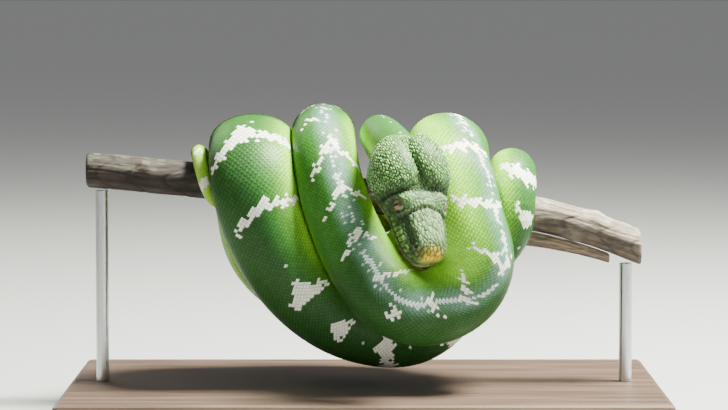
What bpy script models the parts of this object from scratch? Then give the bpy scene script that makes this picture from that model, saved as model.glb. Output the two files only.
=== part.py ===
"""Emerald tree boa resting coiled over a cut branch on a display stand, life size, as a still museum model.

Metres, +Z up. The origin is the middle of the stand's underside, +X runs along the branch to its drooping
end, and the snake's face looks towards -Y. The body is one route: half turns that hang in front of the
branch and behind it by turns, each wider than the last, from the neck in the middle out to the tail.
"""
import math

import bmesh
import bpy
import numpy as np
from mathutils import Vector

# Stand and branch
STAND_LENGTH = 0.320
STAND_DEPTH = 0.200
STAND_HEIGHT = 0.012
STAND_BEVEL = 0.003
ROD_RADIUS = 0.0035
ROD_OFFSET = 0.142
PERCH_HEIGHT = 0.113
PERCH_HALF_LENGTH = 0.150
PERCH_RADIUS = 0.0093
PERCH_SLOPE = -0.095
PERCH_DROOP = 2.2
DROOP_START = 0.070
TWIG_START = 0.082
TWIG_END = 0.133
TWIG_RADIUS = 0.0040
GAP = 0.0003

# Body
POINT_SPACING = 0.004
CONTACT_GAP = 0.0012
BODY_SIDES = 16
RING_SPACING = 0.0074
NECK_POINTS = [(0.0187, -0.0560, 0.0245), (0.0140, -0.0400, 0.0298), (0.0100, -0.0190, 0.0330)]
TAIL_TURNS = 0.70
TAIL_DRIFT = 0.018

# Half turns from neck to tail: side -1 hangs in front of the branch and +1 behind it. Crests are the places
# along the branch where it crosses, rises the heights over the branch's axis there, low the lowest point
# against the middle of the branch, reach how far each arm stands off, and swell how far it bows sideways.
HALF_TURNS = [
    {"name": "inner_back", "side": 1, "crests": (0.0085, -0.0220), "rises": (0.0340, 0.0325),
     "low": (-0.004, 0.052, -0.014), "reach": (0.034, 0.034), "swell": (0.016, -0.014)},
    {"name": "inner_front", "side": -1, "crests": (-0.0220, 0.0455), "rises": (0.0325, 0.0303),
     "low": (0.0300, -0.049, -0.0565), "reach": (0.031, 0.040), "swell": (0.004, 0.0205)},
    {"name": "middle_back", "side": 1, "crests": (0.0455, -0.0600), "rises": (0.0303, 0.0225),
     "low": (-0.008, 0.042, -0.0560), "reach": (0.031, 0.031), "swell": (0.006, -0.006)},
    {"name": "outer_front", "side": -1, "crests": (-0.0600, 0.0800), "rises": (0.0225, 0.0215),
     "low": (0.0170, -0.010, -0.0720), "reach": (0.032, 0.0215), "swell": (0.001, -0.0100)},
    {"name": "outer_back", "side": 1, "crests": (0.0800, -0.0895), "rises": (0.0215, 0.0155),
     "low": (0.008, 0.016, -0.0745), "reach": (0.020, 0.020), "swell": (-0.006, 0.038)},
]
CRESTS = ["crest_c", "crest_b", "crest_d", "crest_a", "crest_e", "crest_t"]

# Half thickness of the body at the landmarks of the route
GIRTH = {"nape": 0.0118, "crest_c": 0.0110, "inner_back": 0.0142, "crest_b": 0.0172, "inner_front": 0.0200,
         "crest_d": 0.0222, "middle_back": 0.0234, "crest_a": 0.0236, "outer_front": 0.0206, "crest_e": 0.0128,
         "outer_back": 0.0096, "crest_t": 0.0045, "tail_front": 0.0036, "tip": 0.0009}
# Its height as a share of its width
TALLNESS = {"nape": 1.0, "crest_d": 0.86, "middle_back": 1.0, "crest_a": 0.67, "outer_front": 1.0, "tip": 1.0}
# Which way the middle of the back faces
RIDGE = {"nape": (0.35, -1, 0.6), "crest_c": (0, 0, 1), "inner_back": (0, 1, 0.3), "crest_b": (0, 0, 1),
         "inner_front_down": (0.33, -1, 0.1), "inner_front": (0, -1, 0.25), "inner_front_up": (0.85, -1, 0.1),
         "crest_d": (0.25, -0.1, 1), "middle_back": (0, 1, -0.2), "crest_a": (0, -0.1, 1),
         "outer_front_down": (0, -1, 0.05), "outer_front": (0, -1, -0.45), "outer_front_up": (1, -1, -0.2),
         "crest_e": (0.5, -0.1, 1), "outer_back": (0, 1, -1), "crest_t": (-0.2, 0, 1), "tip": (0, 0.7, -0.7)}

# Where the body is divided into lengths
LENGTHS = [("neck", "nape", "crest_c"), ("trunk_1", "crest_c", "inner_back"),
           ("trunk_2", "inner_back", "crest_b"), ("trunk_3", "crest_b", "inner_front"),
           ("trunk_4", "inner_front", "crest_d"), ("trunk_5", "crest_d", "middle_back"),
           ("trunk_6", "middle_back", "crest_a"), ("trunk_7", "crest_a", "outer_front"),
           ("trunk_8", "outer_front", "crest_e"), ("trunk_9", "crest_e", "outer_back"),
           ("tail_1", "outer_back", "crest_t"), ("tail_2", "crest_t", "tip")]

# Head: share of its length from the nape, half width, height over the axis, depth under it, crown narrowing
HEAD_LENGTH = 0.0660
HEAD_WAY = (0.205, -0.460, -0.864)
HEAD_ROLL = math.radians(17)
HEAD_SIDES = 24
HEAD_STATIONS = [
    (0.00, 0.0118, 0.0118, 0.0112, 0.00),
    (0.05, 0.0142, 0.0130, 0.0116, 0.00),
    (0.11, 0.0186, 0.0146, 0.0122, 0.02),
    (0.17, 0.0212, 0.0156, 0.0125, 0.04),
    (0.23, 0.0220, 0.0158, 0.0126, 0.06),
    (0.29, 0.0216, 0.0152, 0.0124, 0.09),
    (0.345, 0.0205, 0.0138, 0.0120, 0.17),
    (0.385, 0.0199, 0.0116, 0.0116, 0.28),
    (0.43, 0.0195, 0.0112, 0.0112, 0.33),
    (0.50, 0.0187, 0.0116, 0.0110, 0.33),
    (0.57, 0.0180, 0.0115, 0.0108, 0.34),
    (0.65, 0.0170, 0.0106, 0.0105, 0.36),
    (0.73, 0.0160, 0.0100, 0.0100, 0.38),
    (0.81, 0.0149, 0.0096, 0.0094, 0.37),
    (0.88, 0.0135, 0.0091, 0.0086, 0.34),
    (0.94, 0.0113, 0.0080, 0.0074, 0.26),
    (0.98, 0.0080, 0.0058, 0.0052, 0.12),
    (1.00, 0.0036, 0.0027, 0.0024, 0.05),
]
LOBE_MIDDLE = 0.20
LOBE_SPREAD = 0.125
LOBE_CLEFT = 0.0034
MOUTH_HEIGHT = -0.0030
JAW_START = 0.16
JAW_END = 0.985
EYE_RADIUS = 0.0033
EYE_AT = 0.53
EYE_HEIGHT = 0.0042
EYE_OUT = 0.0125


def branch_height(x):
    """Height of the branch's axis over its middle: a gentle slope that droops past the right hand arms."""
    return PERCH_SLOPE * x - PERCH_DROOP * np.clip(x - DROOP_START, 0, None) ** 2


def half_turn(turn, count=17):
    """Points from one crest down to the low point and up to the next crest, leaving the last crest out."""
    share = np.linspace(0, 1, count)[:-1]
    angle = math.pi * (share - 0.8 * np.sin(2 * math.pi * share) / (2 * math.pi))
    first = angle < math.pi / 2
    pick = {key: np.where(first, *turn[key]) for key in ("crests", "rises", "reach", "swell")}
    low_x, low_y, low_z = turn["low"]
    down, across = np.sin(angle), np.abs(np.cos(angle))
    top = pick["rises"] + branch_height(pick["crests"])
    drop = (top - low_z) * down
    arch = np.sqrt(1 - np.clip(1 - drop / pick["rises"], 0, 1) ** 2)
    x = low_x + (pick["crests"] - low_x) * across + pick["swell"] * np.abs(np.sin(2 * angle)) ** 1.5
    y = turn["side"] * pick["reach"] * arch * (1 - down ** 3) + low_y * down ** 3
    return np.column_stack([x, y, top - drop])


def control_points():
    """The route's control points with the number of the one at each landmark."""
    marks, parts, count = {"nape": 0}, [np.array(NECK_POINTS)], len(NECK_POINTS)
    for crest, turn in zip(CRESTS, HALF_TURNS):
        part = half_turn(turn)
        marks[crest] = count
        marks[turn["name"]] = count + len(part) // 2
        parts.append(part)
        count += len(part)
    angle = np.linspace(0, 2 * math.pi * TAIL_TURNS, 15)
    share = angle / angle[-1]
    standoff = PERCH_RADIUS + HALF_TURNS[-1]["rises"][1] - PERCH_RADIUS - 0.0045 * share
    x = HALF_TURNS[-1]["crests"][1] + TAIL_DRIFT * share ** 1.5
    parts.append(np.column_stack([x, -standoff * np.sin(angle), branch_height(x) + standoff * np.cos(angle)]))
    marks["crest_t"] = count
    marks["tip"] = count + len(share) - 1
    return np.vstack(parts), marks


def through(points, per=20):
    """A smooth line through the control points (Catmull and Rom's spline)."""
    p = np.vstack([2 * points[0] - points[1], points, 2 * points[-1] - points[-2]])
    t = np.linspace(0, 1, per, endpoint=False)[None, :, None]
    a, b, c, d = (p[k:len(p) - 3 + k, None] for k in range(4))
    line = b + 0.5 * ((c - a) * t + (2 * a - 5 * b + 4 * c - d) * t ** 2 + (3 * b - a - 3 * c + d) * t ** 3)
    return np.vstack([line.reshape(-1, 3), points[-1:]])


def walked(points):
    """Distance walked along a line at each of its points."""
    return np.concatenate([[0], np.cumsum(np.linalg.norm(np.diff(points, axis=0), axis=1))])


def blend(at, where, table):
    """Values of a landmark table along the route, by a cubic that doesn't overshoot between landmarks."""
    names = sorted(table, key=lambda name: where[name])
    xs = np.array([where[name] for name in names])
    ys = np.array([np.atleast_1d(table[name]) for name in names], dtype=float)
    h = np.diff(xs)[:, None]
    rise = np.diff(ys, axis=0) / h
    both = rise[:-1] * rise[1:]
    slope = np.zeros_like(ys)
    slope[1:-1] = np.where(both > 0, 2 * both / np.where(both > 0, rise[:-1] + rise[1:], 1), 0)
    slope[0], slope[-1] = rise[0], rise[-1]
    k = np.clip(np.searchsorted(xs, at, side="right") - 1, 0, len(xs) - 2)
    t = ((at - xs[k]) / (xs[k + 1] - xs[k]))[:, None]
    out = ((2 * t ** 3 - 3 * t ** 2 + 1) * ys[k] + (t ** 3 - 2 * t ** 2 + t) * h[k] * slope[k]
           + (3 * t ** 2 - 2 * t ** 3) * ys[k + 1] + (t ** 3 - t ** 2) * h[k] * slope[k + 1])
    return out[:, 0] if out.shape[1] == 1 else out


def settle(line, thick, tall, rounds=500, squeeze=0.12, hold=0.035, fixed=5):
    """Lets the coils push each other and the branch apart until they only press, keeping the line smooth."""
    goal, p, count = line.copy(), line.copy(), len(line)
    apart = np.abs(np.arange(count)[:, None] - np.arange(count)) * POINT_SPACING
    need = (thick[:, None] + thick) * (1 - squeeze)
    far = apart > 1.7 * (thick[:, None] + thick)
    for _ in range(rounds):
        gap = p[:, None] - p[None]
        dist = np.sqrt((gap ** 2).sum(-1)) + 1e-9
        push = np.where(far, np.clip(need - dist, 0, None), 0)
        touching = np.maximum((push > 0).sum(1), 1)[:, None]
        p = p + 0.5 * (gap * (push / dist)[..., None]).sum(1) / touching
        off = np.column_stack([0 * p[:, 0], p[:, 1], p[:, 2] - branch_height(p[:, 0])])
        away = np.linalg.norm(off, axis=1) + 1e-9
        short = np.clip(PERCH_RADIUS + thick * tall * (1 - squeeze) - away, 0, None)
        p = p + 0.5 * off * (short / away)[:, None]
        bow, stiff = np.zeros_like(p), np.zeros_like(p)
        bow[1:-1] = 0.5 * (p[:-2] + p[2:]) - p[1:-1]
        stiff[2:-2] = 2 * bow[2:-2] - bow[1:-3] - bow[3:-1]
        step = np.linalg.norm(p[2:] - p[:-2], axis=1) / 2
        tight = np.zeros(count)
        tight[1:-1] = np.clip(2 * np.linalg.norm(bow[1:-1], axis=1) / step ** 2 * thick[1:-1] - 0.80, 0, 0.5)
        for _ in range(3):
            tight[1:-1] = (tight[:-2] + tight[1:-1] + tight[2:]) / 3
        p = p + 0.2 * stiff + (0.006 + 0.8 * tight)[:, None] * bow
        p = p + hold * (1 - 0.8 * np.clip(tight * 4, 0, 1))[:, None] * (goal - p)
        p[:fixed] = goal[:fixed]
    return p


def body_route():
    """The settled line of the body with its half thickness, height share and ridge direction at each point."""
    points, marks = control_points()
    fine = through(points)
    along = walked(fine)
    count = int(round(along[-1] / POINT_SPACING)) + 1
    at = np.linspace(0, along[-1], count)
    where = {name: along[20 * number] for name, number in marks.items()}
    for crest, turn, after in zip(CRESTS, HALF_TURNS, CRESTS[1:]):
        where[turn["name"] + "_down"] = 0.45 * where[crest] + 0.55 * where[turn["name"]]
        where[turn["name"] + "_up"] = 0.55 * where[turn["name"]] + 0.45 * where[after]
    where["tail_front"] = 0.65 * where["crest_t"] + 0.35 * where["tip"]
    even = np.column_stack([np.interp(at, along, fine[:, axis]) for axis in range(3)])
    thick, tall = blend(at, where, GIRTH), blend(at, where, TALLNESS)
    line = settle(even, thick, tall)
    way = np.gradient(line, axis=0)
    way /= np.linalg.norm(way, axis=1)[:, None]
    ridge = blend(at, where, RIDGE)
    ridge -= way * (ridge * way).sum(1)[:, None]
    ridge /= np.linalg.norm(ridge, axis=1)[:, None]
    return {"at": at, "where": where, "line": line, "thick": thick, "tall": tall, "way": way, "ridge": ridge}


def sections(body, stations, sides, gap):
    """Rings of points round the body at distances along it: an oval, pressed flat where coils or the branch
    touch it, and held in on the inside of bends."""
    at, line, thick, tall, way = (body[key] for key in ("at", "line", "thick", "tall", "way"))
    pick = lambda values: np.column_stack([np.interp(stations, at, column) for column in values.T])
    middle, along, up = pick(line), pick(way), pick(body["ridge"])
    along /= np.linalg.norm(along, axis=1)[:, None]
    up -= along * (up * along).sum(1)[:, None]
    up /= np.linalg.norm(up, axis=1)[:, None]
    side = np.cross(along, up)
    wide, high = np.interp(stations, at, thick), np.interp(stations, at, thick * tall)
    angle = np.linspace(0, 2 * math.pi, sides, endpoint=False)
    lean, rise = np.sin(angle), np.cos(angle)
    rise = np.where(rise < -0.55, -0.55 + 0.80 * (rise + 0.55), rise)
    arrow = (up[:, None] * (rise * high[:, None])[..., None]
             + side[:, None] * (lean * wide[:, None])[..., None])
    bend = np.gradient(way, axis=0) / np.gradient(at)[:, None]
    inward = (arrow * pick(bend)[:, None]).sum(-1)
    arrow *= (np.minimum(1, 0.88 / np.maximum(inward, 1e-6)))[..., None]
    reach = np.linalg.norm(arrow, axis=-1)
    far = np.abs(stations[:, None] - at) > 1.7 * (wide[:, None] + thick)
    low, full = np.zeros_like(reach), np.ones_like(reach)
    for step in range(12):
        share = full if step == 0 else 0.5 * (low + full)
        spot = middle[:, None] + arrow * share[..., None]
        away = spot[:, :, None] - line
        dist = np.linalg.norm(away, axis=-1)
        tilt = (away * body["ridge"]).sum(-1) / np.maximum(dist, 1e-9)
        surface = thick / np.sqrt(tilt ** 2 / tall ** 2 + 1 - tilt ** 2)
        free = np.where(far[:, None], dist - surface, 1).min(-1) - gap
        branch = np.hypot(spot[..., 1], spot[..., 2] - branch_height(spot[..., 0])) - PERCH_RADIUS
        ok = (reach * (share - 1) <= free) & (branch >= 2 * GAP)
        if step == 0:
            done = ok
        low, full = np.where(ok, share, low), np.where(ok, full, share)
    return middle[:, None] + arrow * np.where(done, 1, low)[..., None]


def head_frame(body):
    """The head's centre line, forward, upward and sideways directions at its stations."""
    shares = np.array([row[0] for row in HEAD_STATIONS])
    neck_way, head_way = -body["way"][0], np.array(HEAD_WAY) / np.linalg.norm(HEAD_WAY)
    turn = np.clip(shares / 0.34, 0, 1)
    turn = (turn * turn * (3 - 2 * turn))[:, None]
    ways = neck_way * (1 - turn) + head_way * turn
    ways /= np.linalg.norm(ways, axis=1)[:, None]
    middle_way = 0.5 * (ways[1:] + ways[:-1])
    steps = middle_way * (np.diff(shares) * HEAD_LENGTH)[:, None]
    start = body["line"][0] + neck_way * GAP
    centres = np.vstack([start, start + np.cumsum(steps, axis=0)])
    upright = np.array([0, -0.5, 1.0]) - ways * (ways @ np.array([0, -0.5, 1.0]))[:, None]
    upright /= np.linalg.norm(upright, axis=1)[:, None]
    across = np.cross(ways, upright)
    late = np.clip((shares - 0.15) / 0.38, 0, 1)
    roll = HEAD_ROLL * (late * late * (3 - 2 * late))[:, None]
    up = upright * np.cos(roll) - across * np.sin(roll)
    return centres, ways, up, np.cross(ways, up)


def head_rings(body, upper):
    """Rings of the head over the mouth line, or of the lower jaw under it."""
    centres, ways, ups, sides = head_frame(body)
    angle = np.linspace(0, 2 * math.pi, HEAD_SIDES, endpoint=False)
    rings = []
    for row, centre, up, side in zip(HEAD_STATIONS, centres, ups, sides):
        share, wide, high, deep, narrow = row
        if not upper and not JAW_START < share < JAW_END:
            continue
        lean, rise = np.sin(angle), np.cos(angle)
        square = 0.86 if share > 0.4 else 1.0
        x = wide * np.sign(lean) * np.abs(lean) ** square
        z = np.where(rise > 0, high, deep) * np.sign(rise) * np.abs(rise) ** square
        x = x * (1 - narrow * np.clip(z / high, 0, 1))
        lobe = math.exp(-((share - LOBE_MIDDLE) / LOBE_SPREAD) ** 2)
        z = z + lobe * LOBE_CLEFT * (0.55 * np.exp(-((np.abs(x) - 0.011) / 0.006) ** 2)
                                     - np.exp(-(x / 0.0032) ** 2)) * (rise > 0)
        if not upper:
            z = np.minimum(z, MOUTH_HEIGHT - GAP)
            x = 0.97 * x
        elif share > JAW_START - 0.01:
            z = np.maximum(z, MOUTH_HEIGHT)
        rings.append(centre + np.outer(x, side) + np.outer(z, up))
    return rings


def perch_rings(low, high, radius, count, sides, drop=0.0):
    """Rings along the branch, or along the twig that lies under it, with a few knobs and a wandering girth."""
    xs = np.linspace(low, high, count)
    angle = np.linspace(0, 2 * math.pi, sides, endpoint=False)
    rings = []
    for x in xs:
        clear = min(1.0, max(0.0, (abs(x) - 0.098) / 0.02))
        knob = 0.0016 * math.exp(-((x - 0.128) / 0.006) ** 2) + 0.0009 * math.exp(-((x + 0.118) / 0.007) ** 2)
        wander = clear * (0.0004 * np.sin(3 * angle + 70 * x) + knob * np.clip(np.cos(angle - 0.5), 0, 1))
        size = radius if drop == 0 else radius * (1.06 - 0.42 * (x - low) / (high - low))
        z = PERCH_HEIGHT + branch_height(x) - drop * (PERCH_RADIUS + size + 2 * GAP)
        size = size + (wander if drop == 0 else 0)
        rings.append(np.column_stack([np.full(sides, x), size * np.sin(angle), z + size * np.cos(angle)]))
    return rings


def material(name, colour, roughness, coat=0.0):
    slot = bpy.data.materials.new(name)
    slot.use_nodes = True
    shader = slot.node_tree.nodes["Principled BSDF"]
    shader.inputs["Base Color"].default_value = (*colour, 1)
    shader.inputs["Roughness"].default_value = roughness
    shader.inputs["Coat Weight"].default_value = coat
    slot.diffuse_color = (*colour, 1)
    return slot


def add_object(name, bm, slot, home):
    """Turns the faces outward and puts the mesh in the collection."""
    bmesh.ops.recalc_face_normals(bm, faces=bm.faces)
    if bm.calc_volume(signed=True) < 0:
        bmesh.ops.reverse_faces(bm, faces=bm.faces)
    mesh = bpy.data.meshes.new(name)
    bm.to_mesh(mesh)
    bm.free()
    mesh.materials.append(slot)
    thing = bpy.data.objects.new(name, mesh)
    home.objects.link(thing)
    return thing


def loft(name, rings, slot, home):
    """A closed solid through rings of points, its two ends flat."""
    bm = bmesh.new()
    rows = [[bm.verts.new(Vector(point)) for point in ring] for ring in rings]
    count = len(rows[0])
    for one, two in zip(rows, rows[1:]):
        for k in range(count):
            m = (k + 1) % count
            bm.faces.new((one[k], one[m], two[m], two[k]))
    bm.faces.new(rows[0])
    bm.faces.new(rows[-1])
    return add_object(name, bm, slot, home)


def cylinder(name, radius, low, high, at, sides, slot, home):
    angle = np.linspace(0, 2 * math.pi, sides, endpoint=False)
    ring = np.column_stack([at[0] + radius * np.cos(angle), at[1] + radius * np.sin(angle)])
    rings = [np.column_stack([ring, np.full(sides, z)]) for z in (low, high)]
    return loft(name, rings, slot, home)


def ball(name, centre, radius, slot, home):
    bm = bmesh.new()
    bmesh.ops.create_uvsphere(bm, u_segments=16, v_segments=10, radius=radius)
    bmesh.ops.translate(bm, verts=bm.verts, vec=Vector(centre))
    return add_object(name, bm, slot, home)


def slab(name, slot, home):
    """The stand's base: a flat board with its edges bevelled."""
    bm = bmesh.new()
    bmesh.ops.create_cube(bm, size=1)
    bmesh.ops.scale(bm, verts=bm.verts, vec=(STAND_LENGTH, STAND_DEPTH, STAND_HEIGHT))
    bmesh.ops.translate(bm, verts=bm.verts, vec=(0, 0, STAND_HEIGHT / 2))
    edges = [e for e in bm.edges if max(v.co.z for v in e.verts) > STAND_HEIGHT / 2]
    bmesh.ops.bevel(bm, geom=edges, offset=STAND_BEVEL, segments=2, profile=0.5, affect="EDGES")
    return add_object(name, bm, slot, home)


def cut_sockets(head, centres, slot, home):
    """Sinks a socket in the head for each eye, a little wider than the eye."""
    for number, centre in enumerate(centres):
        tool = ball("eye_socket_cutter_%d" % (number + 1), centre, EYE_RADIUS + GAP, slot, home)
        tool.hide_render = True
        tool.display_type = "WIRE"
        cut = head.modifiers.new("socket_%d" % (number + 1), "BOOLEAN")
        cut.operation = "DIFFERENCE"
        cut.solver = "EXACT"
        cut.object = tool


def build():
    for thing in list(bpy.data.objects):
        bpy.data.objects.remove(thing, do_unlink=True)
    home = bpy.data.collections.new("coiled_emerald_tree_boa")
    bpy.context.scene.collection.children.link(home)
    green = material("skin_green", (0.05, 0.26, 0.07), 0.42, 0.15)
    head_green = material("head_green", (0.06, 0.22, 0.09), 0.5)
    jaw_pale = material("jaw_green_yellow", (0.30, 0.40, 0.08), 0.5)
    eye_glass = material("eye_glass", (0.42, 0.38, 0.16), 0.08, 1.0)
    bark = material("branch_bark", (0.16, 0.12, 0.095), 0.85)
    twig_bark = material("twig_bark", (0.36, 0.25, 0.18), 0.8)
    board = material("stand_wood", (0.055, 0.040, 0.032), 0.5)
    steel = material("stand_steel", (0.45, 0.45, 0.46), 0.3)
    steel.node_tree.nodes["Principled BSDF"].inputs["Metallic"].default_value = 1.0

    body = body_route()
    where = body["where"]
    for name, start, end in LENGTHS:
        first = where[start] + (0 if start == "nape" else GAP / 2)
        last = where[end] - (0 if end == "tip" else GAP / 2)
        count = max(3, int(round((last - first) / RING_SPACING)) + 1)
        rings = sections(body, np.linspace(first, last, count), BODY_SIDES, CONTACT_GAP)
        rings[..., 2] += PERCH_HEIGHT
        loft(name, rings, green, home)

    lift = np.array([0, 0, PERCH_HEIGHT])
    head = loft("head", [ring + lift for ring in head_rings(body, True)], head_green, home)
    loft("lower_jaw", [ring + lift for ring in head_rings(body, False)], jaw_pale, home)
    centres, _, ups, sides = head_frame(body)
    shares = np.array([row[0] for row in HEAD_STATIONS])
    spot = lambda values: np.array([np.interp(EYE_AT, shares, column) for column in values.T])
    eyes = {name: spot(centres) + lift + spot(ups) * EYE_HEIGHT + spot(sides) * sign * EYE_OUT
            for name, sign in (("eye_right", 1), ("eye_left", -1))}
    cut_sockets(head, list(eyes.values()), head_green, home)
    for name, centre in eyes.items():
        ball(name, centre, EYE_RADIUS, eye_glass, home)

    loft("perch", perch_rings(-PERCH_HALF_LENGTH, PERCH_HALF_LENGTH, PERCH_RADIUS, 41, 16), bark, home)
    loft("perch_twig", perch_rings(TWIG_START, TWIG_END, TWIG_RADIUS, 9, 10, 1.0), twig_bark, home)
    slab("stand_base", board, home)
    for name, sign in (("stand_rod_left", -1), ("stand_rod_right", 1)):
        x = sign * ROD_OFFSET
        sag = abs(PERCH_SLOPE) + 2 * PERCH_DROOP * max(0.0, x - DROOP_START)
        top = PERCH_HEIGHT + float(branch_height(x)) - PERCH_RADIUS - sag * ROD_RADIUS - 3 * GAP
        cylinder(name, ROD_RADIUS, STAND_HEIGHT + GAP, top, (x, 0.0), 20, steel, home)


build()
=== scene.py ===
import math

import bmesh
import bpy
import numpy as np
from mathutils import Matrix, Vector


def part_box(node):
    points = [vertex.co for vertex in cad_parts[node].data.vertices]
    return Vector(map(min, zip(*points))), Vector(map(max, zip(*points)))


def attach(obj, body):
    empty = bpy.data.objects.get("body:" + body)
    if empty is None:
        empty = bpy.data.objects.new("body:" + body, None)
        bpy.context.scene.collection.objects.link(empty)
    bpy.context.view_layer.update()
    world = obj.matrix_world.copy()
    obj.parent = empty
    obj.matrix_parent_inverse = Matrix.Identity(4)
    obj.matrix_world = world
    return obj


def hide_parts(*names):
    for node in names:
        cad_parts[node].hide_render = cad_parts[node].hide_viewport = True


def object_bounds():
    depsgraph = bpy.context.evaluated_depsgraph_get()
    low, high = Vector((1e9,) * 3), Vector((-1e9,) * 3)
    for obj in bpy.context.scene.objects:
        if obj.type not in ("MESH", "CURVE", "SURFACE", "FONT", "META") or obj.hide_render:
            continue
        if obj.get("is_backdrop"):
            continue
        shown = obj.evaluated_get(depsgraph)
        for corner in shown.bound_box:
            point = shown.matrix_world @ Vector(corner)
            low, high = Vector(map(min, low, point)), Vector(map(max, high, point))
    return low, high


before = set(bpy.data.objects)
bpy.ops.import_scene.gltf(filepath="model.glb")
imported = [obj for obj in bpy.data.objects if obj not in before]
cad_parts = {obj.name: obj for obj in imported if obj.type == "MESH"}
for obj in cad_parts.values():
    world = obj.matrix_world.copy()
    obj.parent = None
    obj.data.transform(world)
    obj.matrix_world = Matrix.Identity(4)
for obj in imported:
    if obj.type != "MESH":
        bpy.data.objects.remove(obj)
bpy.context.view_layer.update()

# the branch's axis crosses x = 0 at this height; everything below is worked out about that point
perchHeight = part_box("stand_base")[1].z + 0.101

# camera and light
view = {"aim": (0, 0, perchHeight - 0.005), "distance": 1.6, "elevation": 4.0, "lens": 146,
        "sensor": 36, "clip": (0.05, 1000)}
lights = [
    # name, where it stands, size, power, colour
    ("softTop", (0.52, -0.03, 1.16), 0.40, 180.0, (1.0, 0.985, 0.88)),
    ("fillLeft", (-1.2, -1.5, 0.45), 1.3, 1.0, (0.93, 0.98, 1.0)),
    ("rimRight", (1.05, 0.10, 0.55), 0.50, 13.0, (0.84, 0.93, 1.0)),
    ("backLeft", (-0.8, 1.0, 0.8), 0.8, 7.0, (1.0, 1.0, 0.95)),
]

skyGlow = {"height": 1.5, "energy": 1.8, "angle": 60}      # a wide, even light from straight above
air = {"colour": (0.80, 0.84, 0.86, 1), "strength": 0.095}


def makeStudio():
    # the camera stands back from the aim along a line tilted up by the elevation; every lamp
    # is turned from its own place towards the aim
    scene = bpy.context.scene
    tilt = math.radians(view["elevation"])
    aim = Vector(view["aim"])
    camera = bpy.data.cameras.new("studioCamera")
    camera.lens, camera.sensor_width = view["lens"], view["sensor"]
    camera.clip_start, camera.clip_end = view["clip"]
    cameraObject = bpy.data.objects.new("studioCamera", camera)
    scene.collection.objects.link(cameraObject)
    back = Vector((0, -math.cos(tilt), math.sin(tilt)))
    cameraObject.location = aim + back * view["distance"]
    cameraObject.rotation_mode = "QUATERNION"
    cameraObject.rotation_quaternion = (-back).to_track_quat("-Z", "Y")
    scene.camera = cameraObject
    for name, place, size, power, colour in lights:
        lamp = bpy.data.lights.new(name, "AREA")
        lamp.shape, lamp.size, lamp.energy, lamp.color = "DISK", size, power, colour
        lampObject = bpy.data.objects.new(name, lamp)
        scene.collection.objects.link(lampObject)
        lampObject.location = place
        lampObject.rotation_mode = "QUATERNION"
        lampObject.rotation_quaternion = (aim - Vector(place)).to_track_quat("-Z", "Y")
    sky = bpy.data.lights.new("skyGlow", "SUN")
    sky.energy, sky.angle = skyGlow["energy"], math.radians(skyGlow["angle"])
    skyObject = bpy.data.objects.new("skyGlow", sky)
    scene.collection.objects.link(skyObject)
    skyObject.location = (0, 0, skyGlow["height"])
    world = bpy.data.worlds.new("studioAir")
    scene.world = world
    world.use_nodes = True
    background = world.node_tree.nodes["Background"]
    background.inputs["Color"].default_value = air["colour"]
    background.inputs["Strength"].default_value = air["strength"]


makeStudio()
print("studio ready")

# the snake's body
# half turns from neck to tail: side -1 hangs in front of the branch and +1 behind it
halfTurns = [
    {"name": "innerBack", "side": 1, "crests": (0.0085, -0.0220), "rises": (0.0340, 0.0325),
     "low": (-0.004, 0.052, -0.014), "reach": (0.034, 0.034), "swell": (0.016, -0.014)},
    {"name": "innerFront", "side": -1, "crests": (-0.0220, 0.0455), "rises": (0.0325, 0.0303),
     "low": (0.0300, -0.049, -0.0565), "reach": (0.031, 0.040), "swell": (0.004, 0.0205)},
    {"name": "middleBack", "side": 1, "crests": (0.0455, -0.0600), "rises": (0.0303, 0.0225),
     "low": (-0.008, 0.042, -0.0560), "reach": (0.031, 0.031), "swell": (0.006, -0.006)},
    {"name": "outerFront", "side": -1, "crests": (-0.0600, 0.0800), "rises": (0.0225, 0.0215),
     "low": (0.0170, -0.010, -0.0720), "reach": (0.032, 0.0215), "swell": (0.001, -0.0100)},
    {"name": "outerBack", "side": 1, "crests": (0.0800, -0.0895), "rises": (0.0215, 0.0155),
     "low": (0.008, 0.016, -0.0745), "reach": (0.020, 0.020), "swell": (-0.006, 0.038)},
]
crestNames = ["crestC", "crestB", "crestD", "crestA", "crestE", "crestT"]
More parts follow.
